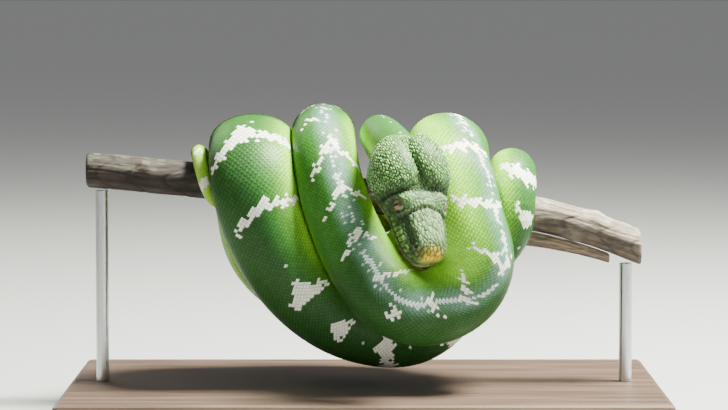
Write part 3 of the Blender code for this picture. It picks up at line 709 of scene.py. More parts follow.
def bodyColour(place, arc, halfArc, ragged=True):
    # dark ridge, green back, yellow-green flanks, a yellow edge and a pale belly; enamel bars and
    # a broken line of pale flecks along the ridge; painted light and shade on the flanks, a bluish
    # ridge that is partly painted sheen, painted shade on the low bends and painted light on the
    # tail's end
    side = np.abs(arc) / halfArc
    thick = np.interp(place, body["at"], body["thick"])
    grain = jitter(place * 997, arc * 4999) if ragged else np.full(len(place), 0.5)
    inner = within(place, *zones["innerCoil"])
    bend = within(place, *zones["frontBend"])
    # painted light and shade: over the lit stretch one flank turns bright sooner, as painted
    # light, and the other later, as painted shade
    litFlankShift = within(place, *zones["lit"]) * (0.17 * smooth(0.0, 0.006, -arc)
                                             - 0.10 * smooth(0.0, 0.006, arc))
    colour = mixed(colours["backGreen"], colours["flankGreen"],
                   smooth(*zones["flank"], side + 1.3 * litFlankShift))
    dark = 0.85 * (1 - smooth(*zones["ridge"], side)) * (1 - 0.55 * inner)
    colour = mixed(colour, colours["ridgeGreen"], dark * (1 - 2.5 * np.maximum(litFlankShift, 0)))
    # the inner loop's ridge turns bluish: partly its own tone and partly a painted sheen of sky
    # light
    blueSheen = inner * (1 - smooth(*zones["blueSheen"], side)) * (0.35 + 0.35 * np.sin(place * 140) ** 2)
    colour = mixed(colour, colours["ridgeBlueSheen"], blueSheen)
    colour = mixed(colour, colours["edgeYellow"], smooth(*zones["edge"], side))
    colour = mixed(colour, colours["bellyYellow"], smooth(*zones["belly"], side))
    # painted light: the end of the tail is painted a brighter green, as if lit
    tail = smooth(*zones["tail"], place) * (side < zones["belly"][0])
    colour = mixed(colour, colours["tailLitGreen"], 0.85 * tail)
    # painted shade: the lower side of both bottom bends, and the outer side of the outer loop, are
    # painted darkest
    low = within(place, *zones["innerLowShade"]) * smooth(0.003, 0.010, arc)
    outer = within(place, *zones["outerLowShade"])
    outer = outer * np.maximum(smooth(-0.004, 0.006, arc), smooth(0.840, 0.880, place))
    colour = mixed(colour, colours["shadowGreen"], 0.80 * np.maximum(low, outer))
    patch = 0.5 + 0.5 * np.sin(place * 61 + 2.2 * np.sin(place * 23) + 3 * side)
    colour = colour * (0.90 + 0.16 * patch * smooth(0.2, 0.5, side))[:, None]
    rough = (grain - 0.5) * 0.0013 if ragged else np.zeros(len(place))
    white = barShare(place, arc, rough)
    # round the front bend the flecks close up into a thin unbroken line
    reach = np.where(inner > 0.5, 0.0017 - 0.0006 * bend, 0.0009) * thick / 0.020
    line = np.abs(arc + 0.0006 * np.sin(place * 150)) < reach
    odds = 0.06 + 0.60 * inner * (0.55 + 0.45 * np.sin(place * 210)) + 0.8 * bend
    fleck = line & (jitter(place * 613, arc * 1201) < odds) & ragged
    stray = jitter(place * 359, arc * 733) < 0.10 * inner * (1 - 0.7 * bend)
    halo = (np.abs(arc) < zones["fleckOut"]) & stray & ragged
    colour = mixed(colour, colours["fleckWhite"], np.maximum(0.85 * fleck, 0.55 * halo))
    shade = 0.90 + 0.20 * grain
    enamel = colours["enamelWhite"] * (0.94 + 0.08 * grain)[:, None]
    return mixed(colour * shade[:, None], enamel, white)


# the scales
coat = {
    # width of a column of scales on the thickest coil and on the head, and how it follows the
    # body's thickness
    "column": 0.00143, "headColumn": 0.00116, "follow": 0.50,
    "mostColumns": 60,                         # on either side of the ridge
    # in column widths: a scale's pace along the body, the heights of its root, free end and
    # back, and how far it laps over its neighbours sideways and backwards
    "long": 1.50, "root": -0.080, "tipLift": 0.220, "crown": 0.110, "overlap": 1.06,
    "lapBack": 1.20,
    # the head's beads: size against a scale's pace and width, lift and height of the back
    # and how far they stray from their rows, across and along
    "beadLong": 0.86, "beadWide": 0.54, "beadLift": 0.17, "beadCrown": 2.8,
    "beadStray": (0.55, 0.70),
    # painted shade round each scale's rim and painted light on its back
    "rimPaintedShade": 0.62, "backPaintedLight": 1.18,       # darker round its rim, lighter on its back
    # share of each side that belly plates take, where the beads end on the head, and how far
    # the rows stop short of the tail's tip
    "belly": 0.165, "headEnd": -0.0300, "tailEnd": 0.0012,
    # belly plates in column widths: half length, pace and size of their heights; and the
    # share by which they reach under the scales beside them
    "plateLong": 1.9, "platePace": 3.4, "plateSize": 1.2, "plateLap": 0.02,
    "patch": 0.0015,                           # half of a scale's patch on the map
    "pieces": [("scalesHead", -0.04, 0.0), ("scalesNeck", 0.0, 0.215),
               ("scalesInnerLoop", 0.215, 0.395), ("scalesInnerCrest", 0.395, 0.575),
               ("scalesMiddleLoop", 0.575, 0.765), ("scalesOuterLoop", 0.765, 0.935),
               ("scalesOuterCrest", 0.935, 1.140), ("scalesTail", 1.140, 1.41)],
}


def resampled(places, rings, samples=96):
    # each ring's two halves cut into steps of even arc from the ridge to the belly's middle,
    # so that a point is found by its place and its arc distance from the ridge
    count, sides = rings.shape[:2]
    half, columns = sides // 2, samples // 2
    closed = np.concatenate([rings, rings[:, :1]], 1)
    steps = np.linalg.norm(np.diff(closed, axis=1), axis=2)
    left = np.concatenate([np.zeros((count, 1)), np.cumsum(steps[:, :half], 1)], 1)
    right = np.concatenate([np.zeros((count, 1)), np.cumsum(steps[:, half:], 1)], 1)
    share = np.linspace(0, 1, columns + 1)
    table = np.zeros((count, samples + 1, 3))
    for row in range(count):
        for axis in range(3):
            table[row, :columns + 1, axis] = np.interp(
                share * left[row, -1], left[row], closed[row, :half + 1, axis])
            table[row, columns:, axis] = np.interp(
                share * right[row, -1], right[row], closed[row, half:, axis])
    around = table[:, :samples]
    tangent = np.roll(around, -1, 1) - np.roll(around, 1, 1)
    normal = unit(np.cross(tangent, np.gradient(around, axis=0)))
    middle = around.mean(1, keepdims=True)
    normal *= np.sign(((around - middle) * normal).sum(-1).mean())
    return {"places": places, "left": left[:, -1], "right": right[:, -1], "table": table,
            "normal": np.concatenate([normal, normal[:, :1]], 1)}


def surfaceAt(surface, place, arc):
    # point and outward direction at a place and a signed arc distance from the ridge, blended
    # from the four nearest samples
    places, samples = surface["places"], surface["table"].shape[1] - 1
    row = np.interp(place, places, np.arange(len(places)))
    left = np.interp(place, places, surface["left"])
    right = np.interp(place, places, surface["right"])
    turn = np.where(arc >= 0, 0.5 * arc / left, 1 + 0.5 * arc / right)
    column = np.mod(turn, 1) * samples
    i = np.minimum(row.astype(int), len(places) - 2)
    j = np.minimum(column.astype(int), samples - 1)
    u, v = (row - i)[..., None], (column - j)[..., None]
    spot, outward = (grid[i, j] * (1 - u) * (1 - v) + grid[i + 1, j] * u * (1 - v)
                     + grid[i, j + 1] * (1 - u) * v + grid[i + 1, j + 1] * u * v
                     for grid in (surface["table"], surface["normal"]))
    return spot, unit(outward)


def scaleShape(bead=False):
    # a rounded diamond: ten points on the rim and two on the back, closed underneath; a bead
    # is rounder, lies level and has a higher back
    angle = np.linspace(0, 2 * math.pi, 10, endpoint=False)
    x, y = np.sin(angle), -np.cos(angle)
    power = np.where(y > 0.1, 2 / 1.85, 2 / 1.35)
    x, y = np.sign(x) * np.abs(x) ** power, np.sign(y) * np.abs(y) ** power
    x, y = np.append(x, [0, 0]), np.append(y, [-0.38, 0.34])
    lift = np.append(0.5 + 0.5 * y[:10], [0.5, 0.5])
    crown = np.append(np.zeros(10), [0.75, 1.0])
    rim = np.arange(10)
    backs = np.where((rim < 2) | (rim > 7), 10, 11)
    top = np.stack([rim, (rim + 1) % 10, backs], -1)
    extra = np.array([[2, 11, 10], [8, 10, 11]])
    under = np.array([[0, k + 1, k] for k in range(1, 9)])
    if bead:
        x[:10], y[:10] = np.sin(angle), -np.cos(angle)
        lift, crown = np.full(12, coat["beadLift"]), crown * coat["beadCrown"]
    return x, y, lift, crown, np.vstack([top, extra, under])


def layScales(surface, place, arc, wide, long, size, shape):
    # every scale's points are set on the surface round its own middle and raised along the
    # surface's outward direction, from its root up to its free end
    x, y, rise, back, faces = shape
    places = place[:, None] + y * long[:, None]
    arcs = arc[:, None] + x * wide[:, None]
    spots, outward = surfaceAt(surface, places.ravel(), arcs.ravel())
    height = coat["root"] + (coat["tipLift"] - coat["root"]) * rise + coat["crown"] * back
    points = spots + outward * (height * size[:, None]).reshape(-1, 1)
    points[:, 2] += perchHeight
    number = np.arange(len(place))[:, None, None] * len(x)
    return points, (faces + number).reshape(-1, 3)


def columnWidth(place):
    # the thickest coil's width times a power of the thickness, and the head's own on the head
    thick = np.interp(place, body["at"], body["thick"])
    onHead = smooth(0.020, -0.012, place)
    full = coat["column"] * (thick / thickest) ** coat["follow"]
    return full * (1 - onHead) + coat["headColumn"] * onHead


def scaleLattice(surface):
    # columns keep their distance from the ridge and start or end at the belly's edge; rows
    # are evenly spaced in column widths, and every other column is half a row further on
    fine = np.linspace(coat["headEnd"], body["at"][-1] - coat["tailEnd"], 4000)
    width = columnWidth(fine)
    between = 0.5 * (width[1:] + width[:-1])
    pace = np.concatenate([[0], np.cumsum(np.diff(fine) / (coat["long"] * between))])
    rows = np.arange(0, int(pace[-1]))
    columns = np.arange(-coat["mostColumns"], coat["mostColumns"] + 1)
    turn = rows[:, None] + 0.5 * (columns % 2)
    place = np.interp(turn, pace, fine)
    column = np.broadcast_to(columns, place.shape)
    place, column = place.ravel(), column.ravel()
    wide = columnWidth(place)
    arc = column * wide
    half = np.where(arc >= 0, np.interp(place, surface["places"], surface["left"]),
                    np.interp(place, surface["places"], surface["right"]))
    keep = np.abs(arc) < half * (1 - coat["belly"]) - 0.2 * wide
    place, arc, wide, half = place[keep], arc[keep], wide[keep], half[keep]
    # the beads on the head don't keep to their rows
    loose = smooth(0.004, -0.006, place) * wide
    strayAcross, strayAlong = coat["beadStray"]
    arc = arc + strayAcross * loose * (jitter(place * 911, arc * 3571) - 0.5)
    place = place + strayAlong * loose * (jitter(place * 577, arc * 2749) - 0.5)
    return place, arc, wide, half


def scuteShape():
    # a belly plate: three rows of nine points across it, closed underneath
    x = np.tile(np.linspace(-1, 1, 9), 3)
    y = np.repeat([-1.0, 0.2, 1.0], 9)
    lift = 0.5 + 0.5 * y
    crown = np.where(y == 0.2, 0.9, 0.0) * (1 - 0.5 * x ** 8)
    k = np.arange(8)
    quads = np.vstack([np.stack([k + 9 * row, k + 9 * row + 9, k + 9 * row + 10,
                                 k + 9 * row + 1], -1) for row in (0, 1)]
                      + [np.stack([k, k + 1, k + 19, k + 18], -1)])
    ends = np.array([[0, 18, 9], [8, 17, 26]])
    return x, y, lift, crown, np.vstack([asTriangles(quads), ends])


# the skin
skin = {"headSides": 320, "bodySides": 64, "headRows": 190, "headSpan": (0.004, 1.0105),
        "bodyStep": 0.0024, "bodyFrom": 0.0006,
        # the skin under the scales is painted darker by a share, as shade between them
        "plateHeight": 0.00036, "grooveShare": 0.40, "gapPaintedShade": 0.58,
        "lipBand": 0.0036, "tries": 14000, "seed": 11,
        # a plate's length against its width: on the snout, behind it and along the lips
        "stretch": (0.40, 0.80, 1.0)}


def headPlaces():
    # muzzle to nape, spaced by a sine so that more rows fall where the face is busiest
    bend = 0.88 * math.pi / 2
    shares = np.sin(np.linspace(0, 1, skin["headRows"]) * bend) / math.sin(bend)
    first, last = skin["headSpan"]
    return -headShape["length"] * (first + (last - first) * shares)[::-1]


def plateSeeds(points, shares, x, z, rng):
    # middles of the head's plates: two rows along the lips, then the rest dropped at random
    # and kept where no other is closer than the zone's spacing
    top = z > 0.0052
    size = np.where(shares < 0.60, 0.0016, 0.0022) * np.where(top, 1, 0.80)
    size = size * (0.85 + 0.45 * np.sin(shares * 31 + 2) * np.sin(x * 420 + 1))
    size = np.where(shares > 0.93, 0.0021, size)
    size = np.where(shares < 0.45, 0.0013, size)
    onLip = (np.abs(z - headShape["mouth"]) < skin["lipBand"]) & (shares > 0.20)
    order = rng.permutation(len(points))
    order = order[~onLip[order]][:skin["tries"]]
    picked = np.zeros(0, int)
    for batch in np.array_split(order, skin["tries"] // 100):
        if len(picked):
            gap = np.linalg.norm(points[batch][:, None] - points[picked][None], axis=2)
            batch = batch[(gap > size[batch][:, None]).all(1)]
        fresh = []
        for one in batch:
            if all(np.linalg.norm(points[one] - points[other]) > size[one] for other in fresh):
                fresh.append(one)
        picked = np.append(picked, fresh).astype(int)
    lipSeeds = []
    lipMiddles = headShape["lipFrom"] + headShape["lipPlate"] * (np.arange(17) + 0.5)
    for sign in (-1, 1):
        for height in (headShape["lipUp"], headShape["lipDown"]):
            for share in lipMiddles:
                off = (np.abs(shares - share) * headShape["length"]
                       + np.abs(z - headShape["mouth"] - height)
                       + np.where(np.sign(x) == sign, 0, 1))
                lipSeeds.append(int(off.argmin()))
    return picked, np.unique(lipSeeds)


def headGrid(places):
    # the head's rings with each point's share of the length, its distances to the side of and
    # above the centre line, and its outward direction
    sides = skin["headSides"]
    rings = surfaceRings(places, sides)
    centres, ways, ups, across = headFrame(-places / headShape["length"])
    centres, ups, across = (np.repeat(values, sides, axis=0) for values in (centres, ups, across))
    flat = rings.reshape(-1, 3)
    rel = flat - centres
    tangent = np.roll(rings, -1, 1) - np.roll(rings, 1, 1)
    outward = unit(np.cross(tangent, np.gradient(rings, axis=0))).reshape(-1, 3)
    outward *= np.sign((outward * rel).sum(1).mean())
    shares = np.repeat(-places / headShape["length"], sides)
    return flat, shares, (rel * across).sum(1), (rel * ups).sum(1), outward, ways[0]


def nearestPlates(points, middles, stretch, way, batch=4000):
    # each point's nearest plate, and 0 on the groove where two middles are equally far up to 1
    # on a middle; distances along the head count for less where plates are long
    nearest = np.zeros((len(points), 2))
    owner = np.zeros(len(points), int)
    for first in range(0, len(points), batch):
        rows = slice(first, first + batch)
        gap = points[rows, None] - middles[None]
        length = (gap * way).sum(-1)
        dist = np.sqrt(np.maximum((gap ** 2).sum(-1) - length ** 2 * (1 - stretch ** 2), 0))
        order = np.argpartition(dist, 1, axis=1)[:, :2]
        pair = np.take_along_axis(dist, order, 1)
        swap = pair[:, 0] > pair[:, 1]
        order[swap], pair[swap] = order[swap][:, ::-1], pair[swap][:, ::-1]
        nearest[rows], owner[rows] = pair, order[:, 0]
    return owner, (nearest[:, 1] - nearest[:, 0]) / np.maximum(nearest.sum(1), 1e-6)


def skinFaces(headRows, bodyRows, headCount):
    # two closed grids; the fine head ring meets the coarser body ring in fans, one point
    # closes the muzzle and another the tail
    headSides, bodySides = skin["headSides"], skin["bodySides"]
    count = headCount + bodyRows * bodySides
    ratio = headSides // bodySides
    last, k = headCount - headSides, np.arange(headSides)
    near = headCount + ((k + ratio // 2) // ratio) % bodySides
    after = headCount + ((k + 1 + ratio // 2) // ratio) % bodySides
    fan = np.stack([last + k, near, last + (k + 1) % headSides], -1)
    gap = near != after
    bridge = np.stack([last + (k[gap] + 1) % headSides, near[gap], after[gap]], -1)
    muzzle = np.stack([np.full(headSides, count), k, (k + 1) % headSides], -1)
    j, start = np.arange(bodySides), count - bodySides
    tailEnd = np.stack([np.full(bodySides, count + 1), start + (j + 1) % bodySides,
                        start + j], -1)
    return np.vstack([asTriangles(gridFaces(headRows, headSides)),
                      asTriangles(gridFaces(bodyRows, bodySides, headCount)),
                      fan, bridge, muzzle, tailEnd])


def buildSkin():
    # rings from the muzzle to the tail's tip, with raised plates on the face; their colours
    # and their map are worked out from the same places
    headSides, bodySides = skin["headSides"], skin["bodySides"]
    places = headPlaces()
    flat, shares, x, z, outward, way = headGrid(places)
    seeds, lipSeeds = plateSeeds(flat, shares, x, z, np.random.default_rng(skin["seed"]))
    everySeed = np.concatenate([seeds, lipSeeds])
    onSnout, behind, onLip = skin["stretch"]
    stretch = np.where(shares[everySeed] > 0.62, onSnout, behind)
    stretch = np.where(np.isin(everySeed, lipSeeds), onLip, stretch)
    owner, edge = nearestPlates(flat, flat[everySeed], stretch, way)
    plate = smooth(0.02, skin["grooveShare"], edge)
    # no plates on the lobes or round the eye
    spot = np.hypot((shares - headShape["eyeAt"]) * headShape["length"], z - headShape["eyeHigh"])
    amount = smooth(0.36, 0.44, shares) * (1 - 0.3 * smooth(0.985, 1.0, shares))
    amount = amount * smooth(0.0030, 0.0040, spot)
    flat = flat + outward * (skin["plateHeight"] * (plate - 0.35) * amount)[:, None]
    tints = headColour(shares, x, z, owner, plate * amount + (1 - amount), spot)

    rows = int(body["at"][-1] / skin["bodyStep"])
    bodyPlaces = np.linspace(skin["bodyFrom"], body["at"][-1], rows)
    bodyGrid = surfaceRings(bodyPlaces, bodySides)
    points = np.vstack([flat, bodyGrid.reshape(-1, 3), flat[:headSides].mean(0),
                        bodyGrid[-1].mean(0)])
    points[:, 2] += perchHeight
    faces = skinFaces(len(places), len(bodyGrid), len(flat))

    # the skin under the scales carries the same markings, painted darker as shade between the
    # scales
    turn = np.linspace(0, 2, bodySides, endpoint=False)
    place = np.repeat(bodyPlaces, bodySides)
    share = np.tile(np.where(turn <= 1, turn, turn - 2), len(bodyPlaces))
    half = np.pi * np.interp(place, body["at"], body["thick"])
    under = bodyColour(place, share * half, half, False) * skin["gapPaintedShade"]
    tints = np.vstack([tints, under, tints[:headSides].mean(0), under[-1]])
    # the map's lower half is the head and its upper half the body
    along = np.concatenate([np.repeat(places, headSides), place, [places[0], place[-1]]])
    around = np.concatenate([np.tile(np.arange(headSides) / headSides, len(places)),
                             np.tile(np.arange(bodySides) / bodySides, len(bodyPlaces)),
                             [0.5, 0.5]])
    uv = np.column_stack([around, np.where(along < 0, 0.5 + along / headShape["length"] * 0.48,
                                           0.52 + 0.47 * along / body["at"][-1])])
    return points, faces, tints, uv, bodyPlaces, bodyGrid


def headColour(shares, x, z, owner, plate, spot):
    # zones from the crown to the throat, with the cheeks and lower jaw painted darker as shade;
    # each plate with its own shade, and painted shade in the grooves
    side = np.abs(x)
    lip = z - headShape["mouth"]
    up, down = headShape["lipUp"], headShape["lipDown"]

    def stain(colour, name, amount, strength=1.0):
        # moved towards a named colour, itself lighter or darker by its strength
        return mixed(colour, colours[name] * strength, amount)

    crown = mixed(colours["crownGreen"], colours["snoutGrey"], smooth(0.55, 0.75, shares))
    # painted shade: the cheeks below the crown are painted dark green
    colour = mixed(colours["cheekShadeGreen"], crown, smooth(0.0040, 0.0068, z))
    colour = stain(colour, "lobeGreen", 1 - smooth(0.43, 0.47, shares), 0.22)
    # painted shade: the lower jaw is painted dark before it turns to the yellow throat
    jaw = mixed(colours["jawShadeGreen"], colours["throatYellow"], smooth(-0.005, -0.009, z))
    colour = mixed(colour, jaw, smooth(-0.0022, -0.0038, z))
    lips = hill(lip, up, 0.0018) * smooth(0.45, 0.8, shares)
    colour = stain(colour, "flankGreen", 0.45 * lips, 0.5)
    # painted highlight along the snout's edge, painted shade in the crease behind it, and the
    # yellow front
    canthusHighlight = hill(z, 0.0077, 0.0011) * within(shares, (0.60, 0.66), (0.88, 0.94))
    colour = stain(colour, "snoutGrey", 0.8 * canthusHighlight, 1.25)
    crease = hill(shares, headShape["creaseAt"] + headShape["creaseLean"] * side, 0.016)
    colour = stain(colour, "cheekShadeGreen", 0.8 * crease * smooth(0.004, 0.007, z))
    front = smooth(0.885, 0.930, shares) * hill(z, 0.0024, 0.0038) * hill(x, -0.0006, 0.0052)
    colour = stain(colour, "lipYellow", np.clip(1.3 * front, 0, 1) * (z > -0.0030))
    # painted shade behind the lobes, and the ring of the eye
    nook = hill(shares, 0.462, 0.017) * smooth(0.002, 0.005, z)
    colour = stain(colour, "recessShadeDark", 0.85 * nook)
    colour = stain(colour, "snoutGrey", 0.6 * hill(spot, 0.0040, 0.0008))
    shade = jitter(owner * 1.7, owner * 0.31)
    colour = colour * (0.60 + 0.72 * shade)[:, None]
    # painted shade in the grooves between plates
    colour = mixed(colours["recessShadeDark"], colour, 0.30 + 0.70 * plate)
    # painted shade in the pits of the lips, along the mouth's line and in the nostrils
    pit = hill(lipStep(shares), 0, 0.16) * smooth(0.22, 0.28, shares)
    low = hill(lip, down, 0.0009)
    high = smooth(0.55, 0.62, shares) * hill(lip, up, 0.0009)
    colour = stain(colour, "recessShadeDark", 0.8 * pit * (low + high))
    colour = stain(colour, "recessShadeDark", 0.85 * hill(lip, 0, 0.0006) * smooth(0.19, 0.24, shares))
    hole = np.hypot((shares - headShape["nostrilAt"]) * headShape["length"],
                    z - headShape["nostrilHigh"])
    return stain(colour, "recessShadeDark", hill(hole, 0, 0.0008) * (side > 0.004))


# finishes
def makeGrainGroup():
    # an even speckle that darkens and lightens a colour and gives a height for bumps
    group = bpy.data.node_groups.new("fineGrain", "ShaderNodeTree")
    for name, kind in (("Vector", "NodeSocketVector"), ("Scale", "NodeSocketFloat"),
                       ("Darkest", "NodeSocketFloat"), ("Lightest", "NodeSocketFloat")):
        group.interface.new_socket(name, in_out="INPUT", socket_type=kind)
    for name in ("Shade", "Height"):
        group.interface.new_socket(name, in_out="OUTPUT", socket_type="NodeSocketFloat")
    start, end = group.nodes.new("NodeGroupInput"), group.nodes.new("NodeGroupOutput")
    noise, spread = group.nodes.new("ShaderNodeTexNoise"), group.nodes.new("ShaderNodeMapRange")
    noise.inputs["Detail"].default_value = 4
    spread.inputs["From Min"].default_value = 0.32
    spread.inputs["From Max"].default_value = 0.68
    link = group.links.new
    link(start.outputs["Vector"], noise.inputs["Vector"])
    link(start.outputs["Scale"], noise.inputs["Scale"])
    link(noise.outputs["Fac"], spread.inputs["Value"])
    link(start.outputs["Darkest"], spread.inputs["To Min"])
    link(start.outputs["Lightest"], spread.inputs["To Max"])
    link(spread.outputs["Result"], end.inputs["Shade"])
    link(noise.outputs["Fac"], end.inputs["Height"])
    return group


grainGroup = makeGrainGroup()


def grainyFinish(name, look, colour=None):
    # a painted or plain colour, darkened and lightened by the grain; the same grain moves the
    # roughness and raises the surface a little
    made = bpy.data.materials.new(name)
    made.use_nodes = True
    nodes, link = made.node_tree.nodes, made.node_tree.links.new
    shader = nodes["Principled BSDF"]
    place, turn = nodes.new("ShaderNodeTexCoord"), nodes.new("ShaderNodeMapping")
    turn.inputs["Scale"].default_value = look.get("stretch", (1, 1, 1))
    grain = nodes.new("ShaderNodeGroup")
    grain.node_tree = grainGroup
    grain.inputs["Scale"].default_value = look["scale"]
    grain.inputs["Darkest"].default_value = look["darkest"]
    grain.inputs["Lightest"].default_value = look["lightest"]
    link(place.outputs["Object"], turn.inputs["Vector"])
    link(turn.outputs["Vector"], grain.inputs["Vector"])
    shade = nodes.new("ShaderNodeVectorMath")
    shade.operation = "SCALE"
    if colour is None:
        tint = nodes.new("ShaderNodeAttribute")
        tint.attribute_name = "tint"
        link(tint.outputs["Color"], shade.inputs[0])
    else:
        shade.inputs[0].default_value = colour
    link(grain.outputs["Shade"], shade.inputs["Scale"])
    link(shade.outputs["Vector"], shader.inputs["Base Color"])
    gloss = nodes.new("ShaderNodeMapRange")
    gloss.inputs["To Min"].default_value = look["rough"] - look.get("roughSwing", 0.08)
    gloss.inputs["To Max"].default_value = look["rough"] + look.get("roughSwing", 0.08)
    link(grain.outputs["Height"], gloss.inputs["Value"])
    link(gloss.outputs["Result"], shader.inputs["Roughness"])
    raised = nodes.new("ShaderNodeBump")
    raised.inputs["Strength"].default_value = look["bump"]
    raised.inputs["Distance"].default_value = look.get("bumpDepth", 0.0002)
    link(grain.outputs["Height"], raised.inputs["Height"])
    link(raised.outputs["Normal"], shader.inputs["Normal"])
    shader.inputs["Coat Weight"].default_value = look.get("coat", 0)
    shader.inputs["Coat Roughness"].default_value = look.get("coatRough", 0.28)
    shader.inputs["Metallic"].default_value = look.get("metal", 0)
    shader.inputs["Specular IOR Level"].default_value = look.get("specular", 0.5)
    return made


finishes = {
    "headSkin": {"scale": 900, "darkest": 0.84, "lightest": 1.12, "rough": 0.48, "bump": 0.25,
                 "coat": 0.02, "specular": 0.14},
    "scaleGreen": {"scale": 700, "darkest": 0.86, "lightest": 1.10, "rough": 0.42, "bump": 0.10,
                   "coat": 0.02, "specular": 0.11},
    "bark": {"scale": 420, "stretch": (0.35, 1, 1), "darkest": 0.62, "lightest": 1.25,
             "rough": 0.82, "bump": 0.8, "bumpDepth": 0.0006, "specular": 0.3},
    "standWood": {"scale": 210, "stretch": (0.07, 1, 1), "darkest": 0.66, "lightest": 1.30,
                  "rough": 0.42, "bump": 0.12, "coat": 0.25, "coatRough": 0.22},
    "standSteel": {"scale": 900, "stretch": (1, 1, 0.02), "darkest": 0.82, "lightest": 1.08,
                   "rough": 0.30, "roughSwing": 0.12, "bump": 0.08, "metal": 1.0},
    "eyeGlass": {"scale": 2600, "darkest": 0.80, "lightest": 1.15, "rough": 0.16,
                 "roughSwing": 0.03, "bump": 0.02, "coat": 0.35, "coatRough": 0.05,
                 "specular": 0.3},
}

points, faces, tints, uv, bodyPlaces, bodyGrid = buildSkin()
skinObject = meshObject("snakeSkin", points, faces, grainyFinish("headSkin", finishes["headSkin"]))
paintPoints(skinObject, tints)
addBakeMap(skinObject, uv)
ridePiece(skinObject, "skin_green", "head", "lower_jaw", "neck",
          *["trunk_%d" % k for k in range(1, 10)], "tail_1", "tail_2")
print("skin", len(faces), "triangles")

lobePlaces = np.linspace(coat["headEnd"] - 0.002, -0.0003, 46)
lobeGrid = surfaceRings(lobePlaces, skin["bodySides"])
coatSurface = resampled(np.concatenate([lobePlaces, bodyPlaces]),
                        np.concatenate([lobeGrid, bodyGrid]))
place, arc, wide, half = scaleLattice(coatSurface)
scaleGreen = grainyFinish("scaleGreen", finishes["scaleGreen"])


def beadColour(place, arc):
    # the lobes' green, each bead with its own shade, and painted shade in the cleft between the
    # lobes and along their front edge
    lobe = colours["lobeGreen"] * (0.45 + 0.95 * jitter(place * 997, arc * 4999))[:, None]
    reach = 0.0016 + 0.0030 * smooth(-0.016, -0.027, place)
    cleft = hill(arc, 0, reach) * smooth(-0.010, -0.020, place)
    front = smooth(-0.0262, -0.0295, place)
    return lobe * (1 - 0.72 * np.maximum(cleft, front))[:, None]


def coatPiece(name, low, high):
    # all scales whose roots lie between two places; each takes one colour, with painted shade
    # round its rim and painted light on its back, and a small patch of the map at its root
    here = (place >= low) & (place < high)
    p, a, w, h = place[here], arc[here], wide[here], half[here]
    bead = high <= 0
    shape = scaleShape(bead)
    long = 0.5 * coat["long"] * w * (coat["beadLong"] if bead else coat["lapBack"])
    across = w * (coat["beadWide"] if bead else coat["overlap"])
    points, faces = layScales(coatSurface, p, a, across, long, w, shape)
    piece = meshObject(name, points, faces, scaleGreen, smoothShade=bead)
    shade = mixed(bodyColour(p, a, h), beadColour(p, a), smooth(0.004, -0.006, p))
    rimToBack = np.where(shape[3] > 0, coat["backPaintedLight"], coat["rimPaintedShade"])
    paintPoints(piece, (shade[:, None] * rimToBack[None, :, None]).reshape(-1, 3))
    around = 0.5 + 0.49 * a / np.maximum(h, 1e-4)
    root = np.column_stack([0.003 + 0.994 * around,
                            0.004 + 0.992 * (p - p.min()) / (p.max() - p.min())])
    patch = np.column_stack([shape[0], shape[1]]) * coat["patch"]
    addBakeMap(piece, (root[:, None] + patch[None]).reshape(-1, 2))
    ridePiece(piece, "skin_green")
    print(name, len(p), "scales", len(faces), "triangles")


def bellyPiece():
    # one row of wide plates along the middle of the belly
    plate = scuteShape()
    fine = np.linspace(0.012, body["at"][-1] - 0.004, 3000)
    pace = np.cumsum(np.diff(fine) / (coat["platePace"] * columnWidth(fine[1:])))
    p = np.interp(np.arange(int(pace[-1])), np.concatenate([[0], pace]), fine)
    w = columnWidth(p)
    left = np.interp(p, coatSurface["places"], coatSurface["left"])
    points, faces = layScales(coatSurface, p, left, left * (coat["belly"] + coat["plateLap"]),
                              coat["plateLong"] * w, coat["plateSize"] * w, plate)
    piece = meshObject("bellyPlates", points, faces, scaleGreen)
    paintPoints(piece, np.repeat(bodyColour(p, left, left), len(plate[0]), axis=0))
    patch = np.column_stack([plate[0] * 0.2, plate[1] * coat["patch"]])
    root = np.column_stack([np.full(len(p), 0.5), 0.004 + 0.992 * p / p.max()])
    addBakeMap(piece, (root[:, None] + patch[None]).reshape(-1, 2))
    ridePiece(piece, "skin_green")
    print("bellyPlates", len(p), "plates")


for name, low, high in coat["pieces"]:
    coatPiece(name, low, high)
bellyPiece()


# eyes
eye = {"radius": 0.0036, "rows": 40, "sides": 48, "rays": 17, "lower": 0.0002, "deeper": 0.0001,
       "lean": (0.16, 0.22),            # how far it looks up and forward
       "bulge": 0.03, "irisShare": 0.86, "slit": (0.16, 0.72),
       "iris": (0.150, 0.115, 0.040), "irisEdge": (0.050, 0.050, 0.022),
       "pupil": (0.006, 0.006, 0.005), "rim": (0.10, 0.13, 0.06)}


